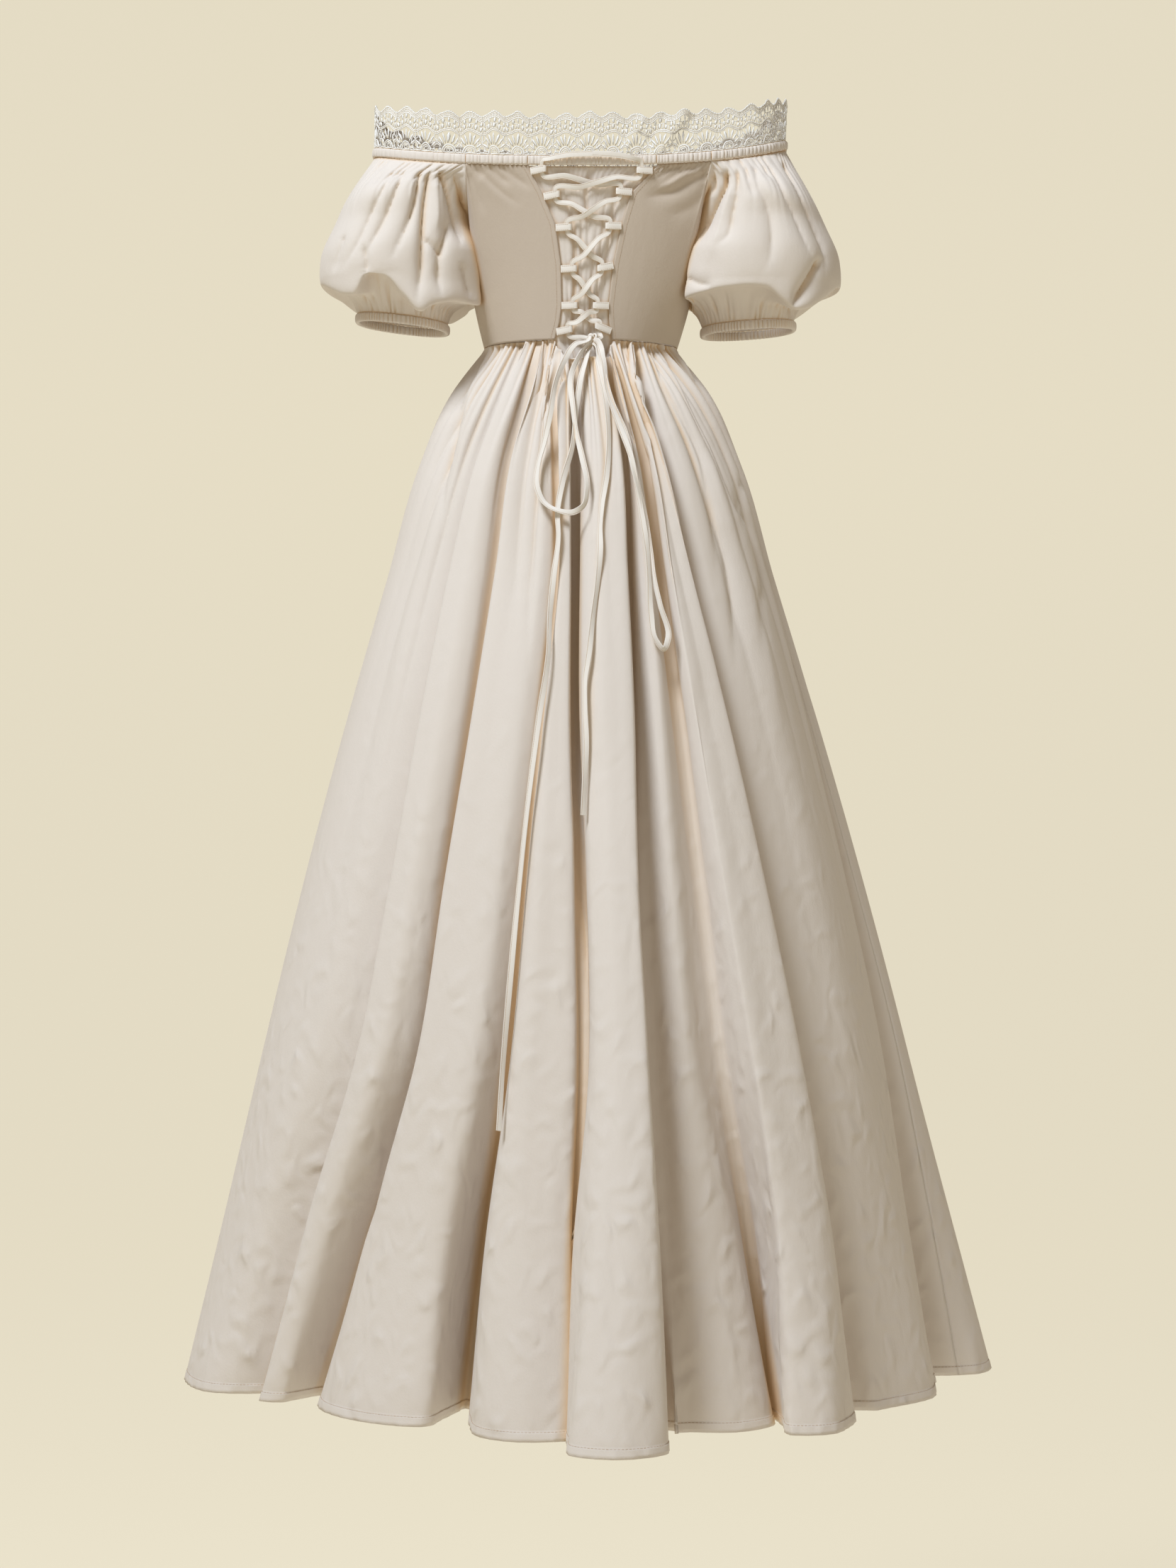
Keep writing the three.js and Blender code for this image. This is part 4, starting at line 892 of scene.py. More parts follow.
def bodice_point(across, down, front):
    """A place on the bodice's outer face."""
    across, down = np.broadcast_arrays(np.asarray(across, float), np.asarray(down, float))
    top = bodice_top(across, front)
    angle = across * math.pi / 2
    facing = 1 if front else -1
    foot = np.stack([
        WAIST_CENTRE + WAIST_HALF * np.sin(angle),
        facing * (WAIST_DEEP * np.cos(angle) + SEAM_Y),
        np.full_like(angle, WAIST_Z)], axis=-1)
    point = top + (foot - top) * down[..., None]
    point[..., 0] += np.sign(across) * SIDE_FULLNESS * across**4 * np.sin(math.pi * down)
    if front:
        point[..., 1] += BUST_FULLNESS * np.maximum(np.cos(angle), 0) ** 0.7 * np.sin(math.pi * down**0.75)
    return point


def opening_across(down, edge):
    """The value of across at which each row of the back crosses an edge of the opening."""
    down = np.asarray(down, float)
    low, high = np.full_like(down, -0.95), np.full_like(down, 0.95)
    for _ in range(40):
        middle = (low + high) / 2
        p = bodice_point(middle, down, False)
        limit = np.interp(-p[..., 2], -OPENING[:, 0], OPENING[:, 1 if edge == "left" else 2])
        below = p[..., 0] < limit
        low, high = np.where(below, middle, low), np.where(below, high, middle)
    return (low + high) / 2


def bodice_back_y(x, z):
    """The bodice's back at a place, carried over the opening."""
    x, z = np.asarray(x, float), np.asarray(z, float)
    down = np.clip((z + CASING_FOOT - NECK_Z_BACK) / (WAIST_Z + CASING_FOOT - NECK_Z_BACK), 0, 1)
    low, high = np.full_like(x, -0.9), np.full_like(x, 0.9)
    for _ in range(30):
        middle = (low + high) / 2
        below = bodice_point(middle, down, False)[..., 0] < x
        low, high = np.where(below, middle, low), np.where(below, high, middle)
    return bodice_point(low, down, False)[..., 1]


# Drag folds on the bodice's back: depth, width, then (x, z) along each
DRAGS = {
    "left": [
        (3.0, 4, [(-118, -12), (-100, -30), (-84, -44), (-66, -54)]),
        (2.4, 3.5, [(-104, -11), (-90, -24), (-76, -34)]),
        (2.2, 3.5, [(-92, -11), (-80, -20), (-66, -30), (-54, -38)]),
        (1.6, 3, [(-124, -20), (-116, -40), (-108, -66)]),
        (-1.8, 6, [(-112, -22), (-92, -40), (-74, -52)]),
    ],
    "right": [
        (5.0, 7, [(134, -16), (118, -24), (98, -36), (78, -42), (60, -48)]),
        (3.4, 5, [(122, -11), (104, -17), (88, -27), (74, -32)]),
        (3.0, 4, [(104, -10), (92, -15), (82, -22), (74, -26)]),
        (2.4, 3.5, [(92, -10), (84, -14), (78, -19)]),
        (-3.4, 6, [(128, -15), (110, -20), (92, -31), (72, -38)]),
        (2.2, 8, [(134, -30), (124, -46), (106, -58), (84, -64)]),
    ],
}


def near_line(grid, path):
    """Each point's distance, seen from the back, from a line of (x, z), and the share along it."""
    line = resample(path, 2)
    away = np.full(grid.shape[:2], np.inf)
    along = np.zeros(grid.shape[:2])
    for i, (x, z) in enumerate(line):
        far = np.hypot(grid[..., 0] - x, grid[..., 2] - z)
        closer = far < away
        away = np.where(closer, far, away)
        along = np.where(closer, i / (len(line) - 1), along)
    return away, along


def drag(grid, lines):
    """Troughs along lines of (x, z), pushed into the cloth's face, which looks towards -Y."""
    grid = grid.copy()
    for deep, wide, path in lines:
        away, along = near_line(grid, path)
        fade = np.minimum(1, smooth(along / 0.12 + 0.35)) * smooth((1 - along) / 0.45 + 0.02)
        grid[..., 1] += deep * fade * np.exp(-(away / wide) ** 1.5)
    return grid


def bodice_back(edge, side):
    """One half of the back, from its side seam to its edge of the opening."""
    down, share = (np.linspace(0, 1, count) for count in BACK_GRID)
    share = share ** 0.9
    opened = opening_across(down, edge) + side * 0.002
    across = side + (opened[:, None] - side) * share[None]
    outer = bodice_point(across, down[:, None] * np.ones_like(across), False)
    outer = drag(outer, DRAGS[edge])
    # small gathers just under the casing
    s = run_of(outer[0])
    fade = np.exp(down[:, None] * WAIST_Z / 7)
    gathers = np.sin(s * TURN / 5.2 + 1.4 * np.sin(s / 13))
    outer[..., 1] += 0.9 * fade * gathers * (np.abs(across) < NECK_SHARE)
    panel(f"bodice_back_{edge}", outer, COTTON_PAINTED_SHADE)
    return outer


BACKS = {"left": bodice_back("left", -1), "right": bodice_back("right", 1)}


def bodice_front():
    across, down = np.meshgrid(np.linspace(-1, 1, FRONT_GRID[1]), np.linspace(0, 1, FRONT_GRID[0]))
    outer = bodice_point(across, down, True)
    fade = np.exp(down * WAIST_Z / 16)
    outer[..., 1] -= 1.6 * fade * np.sin(run_of(outer[0]) * TURN / 7) ** 2 * (np.abs(across) < NECK_SHARE)
    panel("bodice_front", outer, COTTON_PAINTED_SHADE)


bodice_front()


# Folds of the panel behind the opening: share across it, depth, width, lean and where each starts
MODESTY_FOLDS = [
    (0.10, 4, 0.035, 0.03, 0), (0.2, 3, 0.03, 0.05, 0.1), (0.31, 6, 0.035, 0.02, 0),
    (0.42, 3.4, 0.03, 0.04, 0.3), (0.5, 8, 0.03, 0.015, 0), (0.6, 4.6, 0.035, -0.03, 0),
    (0.69, 3, 0.03, -0.05, 0.15), (0.78, 6.5, 0.04, -0.02, 0), (0.9, 4, 0.03, -0.01, 0)]


def modesty_panel():
    """The panel behind the opening: uneven upright folds that only go inwards."""
    rows, columns = MODESTY_GRID
    foot_z = -222
    gathered = 139
    z = np.linspace(NECK_Z_BACK - CASING_FOOT - 0.3, foot_z, rows)
    down = np.clip((z - z[0]) / (WAIST_Z - z[0]), 0, 1)
    left = bodice_point(opening_across(down, "left"), down, False)[:, 0] - 8
    right = bodice_point(opening_across(down, "right"), down, False)[:, 0] + 8
    below = smooth((WAIST_Z - z) / (WAIST_Z - foot_z))
    left = left + (-27 - left) * below
    right = right + (29 - right) * below
    share = np.linspace(0, 1, columns)
    x = left[:, None] + (right - left)[:, None] * share[None]
    zz = z[:, None] * np.ones_like(x)
    flat_y = bodice_back_y(x, np.maximum(zz, WAIST_Z))
    waist_y = bodice_back_y(x, np.full_like(x, WAIST_Z)) + 1
    y = np.where(zz < WAIST_Z, waist_y, flat_y) + 2.1
    inset = np.sin(math.pi * share)[None] ** 0.5
    fold = np.zeros_like(x)
    for centre, deep, wide, lean, start in MODESTY_FOLDS:
        middle = centre + lean * (down[:, None] - 0.4) + 0.008 * np.sin(down[:, None] * 9 + centre * 30)
        strong = deep * (0.55 + 0.45 * np.sin(down[:, None] * 4 + centre * 17))
        strong = strong * smooth((down[:, None] - start) / 0.1 + 0.5)
        fold += strong * np.exp(-(np.abs(share[None] - middle) / wide) ** 1.5)
    s = share[None] * gathered
    gathers = 1.2 * np.exp(-down[:, None] * 9) * (0.5 + 0.5 * np.sin(s * TURN / 5.5 + np.sin(s / 9)))
    y = y + (fold * smooth(down[:, None] * 6 + 0.25) + gathers) * inset
    outer = np.stack([x, y, zz], axis=-1)
    panel("modesty_panel", outer, COTTON_PLAIN, FINE_CLOTH)


modesty_panel()


# Casing: a band with uneven ruches

def section_turns(sides):
    """Cosines and sines round a band's section."""
    a = np.arange(sides) / sides * TURN
    return np.cos(a), np.sin(a)


def ruched_band(name, place, out, section, closed=False):
    """A gathered band."""
    ups = np.broadcast_to(UP, place.shape)
    band = piece(name, *tube(place, out, ups, section, closed), COTTON_PLAIN, [name])


def casing(name, start, end, pitch, deep):
    """A closed band from start to end of the neckline. deep is how far the ruches stand out."""
    start, end = start + 0.15, end - 0.15
    length = end - start
    cuts = [0.0]
    while cuts[-1] < length:
        cuts.append(cuts[-1] + pitch * RANDOM.uniform(0.55, 1.5))
    cuts = np.array(cuts) * length / cuts[-1]
    s = np.linspace(0, length, int(length / 0.65) + 2)
    i = np.clip(np.searchsorted(cuts, s, side="right") - 1, 0, len(cuts) - 2)
    t = (s - cuts[i]) / (cuts[i + 1] - cuts[i]) * 2 - 1
    strength = RANDOM.uniform(0.5, 1.0, len(cuts))
    bulge = np.sqrt(np.clip(1 - np.abs(t) ** 2, 0, 1)) * strength[i]
    place, out = neck_at(start + s), neck_out(start + s)
    o, u = section_turns(14)
    thick = (1.25 + deep * bulge[:, None] * np.where(o > 0, 1, 0.5)) * power(o, 0.8)
    tall = (CASING_HALF - 0.2 + 0.25 * bulge[:, None]) * power(u, 0.55)
    ruched_band(name, place, out, np.stack([thick, tall], axis=-1))


casing("casing_back_left", JOIN["back_left"], JOIN["open_left"], 5.0, 2.1)
casing("modesty_casing", JOIN["open_left"], JOIN["open_right"], 4.4, 2.0)
casing("casing_back_right", JOIN["open_right"], JOIN["back_right"], 4.2, 2.3)
casing("casing_sleeve_right", JOIN["back_right"], JOIN["front_right"], 4.6, 2.4)
casing("casing_front", JOIN["front_right"], JOIN["front_left"], 5.0, 2.2)
casing("casing_sleeve_left", JOIN["front_left"], JOIN["back_left"] + NECK_LENGTH, 6.4, 1.8)


# Sleeves. turn runs round the arm: 0 outwards, a quarter at the back, a half inwards.

def arm_ring(ring, side, turn):
    """A ring round the arm, tilted outwards."""
    z, outer, inner, deep, tilt = ring
    middle, half = (outer + inner) / 2, (outer - inner) / 2
    x = middle + half * power(np.cos(turn), PUFF_BEND)
    return np.stack([side * x, -deep * power(np.sin(turn), PUFF_BEND),
                     z + tilt * (x - middle) / (2 * half)], axis=-1)


def body_side(y, z):
    """How far the bodice's side reaches, for a sleeve to stay clear of."""
    down = np.clip((UNDERARM_Z - z) / (UNDERARM_Z - WAIST_Z), 0, 1)
    width = 130 + (WAIST_HALF + 4 - 130) * down**1.3
    deep = 98 + (WAIST_DEEP - 98) * down
    return width * (1 - np.minimum(1, np.abs(y) / deep) ** 3) ** (1 / 3)


def sleeve_top(spec, turn):
    """The edge sewn to the casing and to the armhole, at each turn in degrees from -180 to 180."""
    left = spec["side"] < 0
    back = JOIN["back_left"] + NECK_LENGTH if left else JOIN["back_right"]
    front = JOIN["front_left"] if left else JOIN["front_right"]
    share = np.clip((turn / PUFF_NECK_EDGE + 1) / 2, 0, 1)
    on_neck = neck_at(front + (back - front) * share) - UP * CASING_FOOT
    beyond = (np.abs(turn) - PUFF_NECK_EDGE) / (180 - PUFF_NECK_EDGE)
    across = spec["side"] * (NECK_SHARE + (1 - NECK_SHARE) * np.clip(beyond, 0, 1))
    arm = np.where((turn > 0)[:, None], bodice_top(across, False), bodice_top(across, True))
    arm[:, 0] += spec["side"] * 0.3
    return np.where((np.abs(turn) <= PUFF_NECK_EDGE)[:, None], on_neck, arm)


def sleeve_grid(spec, degrees):
    """The sleeve's smooth outer face: rows from the neckline to the cuff, columns round the arm."""
    side = spec["side"]
    turn = np.radians(degrees)
    hang = np.interp(np.mod(degrees, 360), *np.array(spec["hang"], float).T)
    hang = np.convolve(np.concatenate([hang[-3:], hang, hang[:3]]), np.ones(7) / 7, "valid")
    top = sleeve_top(spec, degrees)
    rings = [arm_ring(r, side, turn) for r in spec["rings"]]
    mix = 0.35 + 0.65 * smooth((PUFF_NECK_EDGE + 20 - np.abs(degrees)) / 40)
    shoulder = top + (rings[0] - top) * mix[:, None]
    edge = rings[4].copy()
    edge[:, 2] = hang
    edge[:, :2] = rings[3][:, :2] * 0.55 + rings[4][:, :2] * 0.45
    rings[3][:, 2] = np.minimum(rings[3][:, 2], (hang + rings[2][:, 2]) / 2 - 4)
    z, outer, inner, deep, tilt = spec["cuff"]
    tuck = arm_ring((z + 16, outer + 8, inner - 8, deep + 12, tilt), side, turn)
    lip = edge + (tuck - edge) * 0.3
    lip[:, 2] = hang + 1.5
    controls = np.array([top, shoulder, *rings[1:4], edge, lip, tuck, arm_ring(spec["cuff"], side, turn)])
    rows = np.linspace(0, 1, SLEEVE_GRID[0])
    flat = curve_through(SLEEVE_STATIONS, controls.reshape(len(controls), -1), rows)
    return flat.reshape(*SLEEVE_GRID, 3)


def sleeve_folds(spec, grid, degrees, radius):
    """How far each point of a sleeve stands out, for its folds, creases and gathers."""
    around = np.mod(degrees, 360)[None]
    down = np.linspace(0, 1, SLEEVE_GRID[0])[:, None]
    push = np.zeros(grid.shape[:2])
    for angle, deep, wide, begin, end in SLEEVE_FRONT_FOLDS:
        away = (around - angle + 180) % 360 - 180
        away = np.radians(away) * radius + 4 * np.sin(down * 5 + angle)
        fade = smooth((down - begin) / 0.12 + 0.4) * smooth((end - down) / 0.3 + 0.1)
        push -= deep * fade * np.exp(-(np.abs(away) / (wide * (0.45 + 0.9 * down))) ** 1.4)
    # creases seen on the back, with a sharp line and soft shoulders
    in_back = grid[..., 1] < 4
    for deep, wide, path in spec["creases"]:
        away, along = near_line(grid, path)
        fade = smooth(along / 0.1 + 0.55) * smooth((1 - along) / 0.4 + 0.05)
        push -= in_back * 1.15 * deep * fade * np.exp(-(away / (wide * (0.6 + 0.6 * along))) ** 0.95)
    # fine gathers under the casing and above the cuff
    turned = around / 360 * TURN
    under_casing, over_cuff = np.exp(-(down / 0.13) ** 1.2), np.exp(-(1 - down) / 0.09)
    for count, deep, strong in ((48, 5.5, under_casing), (58, 5, over_cuff)):
        phase = turned * count + 2.2 * np.sin(turned * 9)
        size = 0.65 + 0.35 * np.sin(turned * 13 + count)
        push -= deep * size * strong * (1 - np.abs(np.sin(phase / 2)) ** 0.7)
    # longer gathers on the underside
    phase = turned * 26 + 2.5 * np.sin(turned * 5)
    under = smooth((down - 0.74) / 0.1) * smooth((1 - down) / 0.12)
    push -= 7 * under * (1 - np.abs(np.sin(phase / 2)) ** 0.6) * (0.7 + 0.3 * np.sin(phase * 0.37))
    return push * smooth(down * 40) * smooth((1 - down) * 40 + 0.2)


def sleeve(name, spec):
    """A puffed sleeve between the neckline and its cuff, clear of the bodice's side."""
    side = spec["side"]
    degrees = np.linspace(-180, 180, SLEEVE_GRID[1], endpoint=False)
    grid = sleeve_grid(spec, degrees)
    centre = np.array([side * (spec["cuff"][1] + spec["cuff"][2]) / 2, 0, 0])
    from_centre = (grid - centre) * [1, 1, 0]
    push = sleeve_folds(spec, grid, degrees, np.linalg.norm(from_centre, axis=2))
    grid = grid + unit(from_centre) * push[..., None]
    limit = body_side(grid[..., 1], grid[..., 2]) + SLEEVE_CLEAR
    lower = np.linspace(0, 1, SLEEVE_GRID[0])[:, None] > 0.05
    grid[..., 0] = np.where(lower & (side * grid[..., 0] < limit), side * limit, grid[..., 0])
    points, faces = shell(grid, CLOTH, grid * [0, 0, 1] + centre, closed=True)
    cut(piece(name, points, faces, COTTON, [name]), grid, closed=True)


def cuff(name, spec):
    """A narrow ruched band at a sleeve's foot."""
    turn = np.arange(CUFF_COLUMNS) / CUFF_COLUMNS * TURN
    z, outer, inner, deep, tilt = spec["cuff"]
    place = arm_ring((z - 5.1, outer, inner, deep, tilt), spec["side"], turn)
    out = np.stack([spec["side"] * np.cos(turn), -np.sin(turn), 0 * turn], axis=-1)
    phase = turn * CUFF_RUCHES + 1.6 * np.sin(turn * 7) + 0.8 * np.sin(turn * 17)
    bulge = np.abs(np.sin(phase / 2))[:, None] ** 0.6
    o, u = section_turns(12)
    section = np.stack([(0.7 + 2.4 * bulge) * power(o, 0.8), (4.5 + 0.5 * bulge) * power(u, 0.6)], axis=-1)
    ruched_band(name, place, out, section, closed=True)


for word, spec in SLEEVES.items():
    sleeve(f"sleeve_{word}", spec)
    cuff(f"cuff_{word}", spec)


# Lace: one repeat drawn flat in (along, up, out), then laid round the neckline

class Tile(Joined):
    """One repeat of the lace. heavy thickens its threads."""

    def __init__(self, heavy):
        super().__init__()
        self.heavy = heavy

    def cord(self, path, radius, lift=0.0, step=1.5):
        """A thread along a path of (along, up), four-sided."""
        radius = radius * self.heavy
        path = resample(path, step)
        along = unit(np.gradient(path, axis=0))
        side = np.stack([-along[:, 1], along[:, 0]], axis=1)
        flat = np.concatenate([path, np.full((len(path), 1), lift)], axis=1)
        outs = np.concatenate([side, np.zeros((len(path), 1))], axis=1)
        ups = np.broadcast_to([0, 0, 1.0], flat.shape)
        r, t = radius, radius * 0.85
        self.add(*tube(flat, outs, ups, [(r, 0), (0, t), (-r, 0), (0, -t)]))

    def leaf(self, along, up, angle, length, width, lift=0.0):
        """A pointed leaf from its foot, raised along its middle."""
        a = math.radians(angle)
        d, n = np.array([math.cos(a), math.sin(a)]), np.array([-math.sin(a), math.cos(a)])
        foot = np.array([along, up])
        rim = [(0, 0), (0.3, 0.42), (0.62, 0.5), (1, 0), (0.62, -0.5), (0.3, -0.42)]
        ring = [np.append(foot + d * l * length + n * w * width, lift) for l, w in rim]
        front = [np.append(foot + d * l * length, lift + 0.75) for l in (0.28, 0.7)]
        back = [np.append(foot + d * l * length, lift - 0.6) for l in (0.28, 0.7)]
        points = ring + front + back
        faces = [(0, 6, 1), (1, 6, 7, 2), (2, 7, 3), (3, 7, 4), (4, 7, 6, 5), (5, 6, 0),
                 (0, 1, 8), (1, 2, 9, 8), (2, 3, 9), (3, 4, 9), (4, 5, 8, 9), (5, 0, 8)]
        self.add(points, faces)

    def bead(self, along, up, radius, lift=0.0):
        c = np.array([along, up, lift])
        points = [c + v for v in radius * np.array(
            [(1, 0, 0), (0, 1, 0), (-1, 0, 0), (0, -1, 0), (0, 0, 1), (0, 0, -1)])]
        faces = [(0, 1, 4), (1, 2, 4), (2, 3, 4), (3, 0, 4), (1, 0, 5), (2, 1, 5), (3, 2, 5), (0, 3, 5)]
        self.add(points, faces)


LACE_PITCH = NECK_LENGTH / LACE_REPEATS


def lace_top(x):
    """Height of the scalloped edge."""
    return LACE_HEIGHT - 3.6 + 3.1 * np.cos((np.asarray(x) / LACE_PITCH - 0.5) * TURN)


def lace_wave(x):
    """Height of the wavy double cord."""
    return 24.6 + 2.6 * np.cos((np.asarray(x) / LACE_PITCH - 0.5) * TURN)


# A fan's leaves: angle and length
FAN_LEAVES = [
    (8, 5.2), (32, 9.4), (54, 12), (72, 14), (90, 15), (108, 14), (126, 12), (148, 9.4), (172, 5.2)]


def lace_tile(heavy):
    """Points and faces of one repeat."""
    tile = Tile(heavy)
    middle = LACE_PITCH / 2
    xs = np.linspace(0, LACE_PITCH, 13)
    tile.cord([(0, 0.7), (LACE_PITCH, 0.7)], 0.8, step=3)
    # fan: a double cord arc with leaves that spread from it
    for r, cord in ((6.3, 0.75), (4.6, 0.6)):
        arc = [(middle + r * math.cos(a), 1.6 + 1.2 * r * math.sin(a))
               for a in np.radians(np.linspace(-8, 188, 15))]
        tile.cord(arc, cord, lift=0.2)
    ring = [(middle + 1.9 * math.cos(a), 3.6 + 1.9 * math.sin(a)) for a in np.linspace(0, TURN, 9)]
    tile.cord(ring, 0.5)
    for angle, length in FAN_LEAVES:
        a = math.radians(angle)
        foot = (middle + 7 * math.cos(a), 1.6 + 8.3 * math.sin(a))
        tile.leaf(foot[0], foot[1], 90 + (angle - 90) * 0.86, length, 2.5 if 20 < angle < 160 else 1.8)
    # net between the fans
    for side in (-1, 1):
        tile.cord([(0, 0.8), (side * 2.9, 3.2), (side * 2.7, 6.8), (0, 9.2)], 0.5)
        tile.cord([(side * 2.9, 3.2), (side * 5.4, 2.6), (side * 6.6, 4.4)], 0.5)
        tile.cord([(side * 2.7, 6.8), (side * 4.8, 9.2), (side * 4.4, 12.6)], 0.5)
        tile.cord([(0, 9.2), (side * 0.1, 12.2), (side * 2.7, 15.4), (side * 2.3, 21)], 0.5)
    tile.cord([(0, 12), (0, 22)], 0.45)
    # wavy double cord
    for drop in (0, 1.7):
        tile.cord(np.stack([xs, lace_wave(xs) - drop], axis=1), 0.62, lift=0.25)
    # two rows of upright leaves
    count = 5
    for i in range(count):
        x = (i + 0.5) * LACE_PITCH / count
        low, high = lace_wave(x) + 0.5, lace_top(x) - 6.4
        half = (high - low) / 2
        lean = 90 - (x - middle) * 0.9
        tile.leaf(x, low, lean, half + 0.8, 3.0)
        tile.leaf(x + 0.3, low + half - 0.3, lean, half + 0.8, 2.8)
        between = x + LACE_PITCH / count / 2
        foot = lace_wave(between)
        tie = (foot + (lace_top(between) - 6.2)) / 2
        tile.cord([(between - 2.2, tie), (between + 2.2, tie)], 0.42, step=2.2)
        tile.cord([(between, foot), (between + 0.5, tie)], 0.38, step=3)
    # eyelet border and picots
    for drop, cord in ((0.7, 0.7), (2.5, 0.5), (4.3, 0.5), (6.3, 0.65)):
        tile.cord(np.stack([xs, lace_top(xs) - drop], axis=1), cord, lift=0.1)
    for k in range(15):
        x = (k + 0.5) * LACE_PITCH / 15
        top = float(lace_top(x))
        for a, b in ((0.9, 2.4), (2.7, 4.2), (4.5, 6.2)):
            if (k + int(a)) % 2 == 0 or a > 4:
                tile.cord([(x, top - b), (x, top - a)], 0.42, step=3)
    for k in range(12):
        x = (k + 0.5) * LACE_PITCH / 12
        tile.bead(x, float(lace_top(x)) + 0.1, 0.85)
    return np.concatenate(tile.points), tile.faces


# Slanted pleats in the lace: place, lean, depth and width
LACE_PLEATS = [
    (46, 0.55, 4.5, 6), (66, 0.6, -3.6, 6), (84, 0.6, 4.2, 7), (104, 0.5, -3, 7),
    (-84 + NECK_LENGTH, -0.35, 3.2, 7), (-60 + NECK_LENGTH, -0.3, -2.6, 8)]


def lace_surface(flat):
    """Places in (along, up, out) put on the standing band, with its waves, slanted pleats and seam."""
    s, h, o = flat[:, 0], flat[:, 1], flat[:, 2]
    share = np.clip(h / LACE_HEIGHT, 0, 1)
    s = s + 0.5 * np.sin(s * 0.31 + h * 0.12) + 0.35 * np.sin(s * 0.83 + 1.3 + h * 0.2)
    h = h + 0.35 * np.sin(s * 0.47 + h * 0.3) + 1.3 * share * np.sin(s * 0.061 + 0.6)
    from_seam = (s - LACE_SEAM + NECK_LENGTH / 2) % NECK_LENGTH - NECK_LENGTH / 2
    near = np.exp(-(from_seam / 9) ** 2)
    s = s - 0.55 * from_seam * near
    wave = LACE_WAVE * np.sin(s / NECK_LENGTH * TURN * LACE_WAVES) * share
    wave = wave - 2.2 * near * np.sin(math.pi * share) ** 0.5
    around = np.mod(s, NECK_LENGTH)
    risen = np.sin(math.pi * (0.12 + 0.8 * share))
    for at, lean, deep, wide in LACE_PLEATS:
        wave = wave + deep * np.exp(-((around - at - lean * h) / wide) ** 2) * risen
    place, out = neck_at(s), neck_out(s)
    return place + out * (wave + o)[:, None] + UP * (CASING_HALF + 0.3 + h)[:, None]


def lace(name, first):
    """Half of the band. The repeats at the front have heavier threads in a darker colour: painted shade for
    the shade that falls on the band's inner face.
    """
    mesh = Joined()
    inner = []
    for r in range(LACE_REPEATS // 2):
        offset = np.array([LACE_SEAM + LACE_PITCH * (first + r), 0, 0])
        in_front = neck_at(offset[0] + LACE_PITCH / 2)[1] > 0
        points, faces = lace_tile(LACE_HEAVY if in_front else LACE_FINE)
        place = lace_surface(points + offset)
        mesh.add(place, faces)
        inner += [int(place[:, 1].mean() > 0)] * len(faces)
    band = mesh.piece(name, LACE_THREAD, [name], "lace")
    # painted shade: the faces of the repeats at the front take the darker thread
    band.data.materials.append(LACE_PAINTED_SHADE)
    band.data.polygons.foreach_set("material_index", inner)


lace("lace_back_right", 0)
lace("lace_front_left", LACE_REPEATS // 2)


# Loops and lacing

def back_y(x, z):
    """The bodice's back at one place."""
    return float(bodice_back_y(np.array(x), np.array(z)))


def loop_foot(x, z):
    """Where a loop's foot meets the back."""
    return back_y(x, z) + CLOTH - 0.1


def loop_edge(side, z):
    """The opening's edge at a height."""
    return float(np.interp(-z, -OPENING[:, 0], OPENING[:, 2 if side > 0 else 1]))


# How far each loop's tip stands above its foot
LOOP_TILTS = {"left": (3, 3, 0.5, 0.5, 0, 3), "right": (0.5, 1, 0, -3.5, 0, 6)}
STITCHES = Joined()
PRISM = [(0, 1, 5, 4), (1, 2, 6, 5), (2, 3, 7, 6), (3, 0, 4, 7), (3, 2, 1, 0), (4, 5, 6, 7)]


def stitch_row(path, outs, pitch=2.9, long=1.9, thick=0.26):
    """Short threads along a path, just proud of the cloth."""
    s = run_of(path)
    for at in np.arange(pitch / 2, s[-1] - long, pitch):
        ends = [np.array([np.interp(v, s, path[:, k]) for k in range(3)]) for v in (at, at + long)]
        out = np.array([np.interp(at, s, outs[:, k]) for k in range(3)])
        d = unit(ends[1] - ends[0])
        n = unit(np.cross(d, out))
        points = []
        for e in ends:
            points += [e + n * thick, e + out * thick * 1.4, e - n * thick, e - out * thick]
        STITCHES.add(points, PRISM)


# A loop's section in shares of its half thickness and half height, with a groove by each stitched edge
LOOP_SECTION = [
    (0.6, 1), (1, 0.9), (0.75, 0.72), (1.15, 0.5), (1.15, -0.5), (0.75, -0.72), (1, -0.9), (0.6, -1),
    (-0.6, -1), (-1, -0.8), (-1, 0.8), (-0.6, 1)]


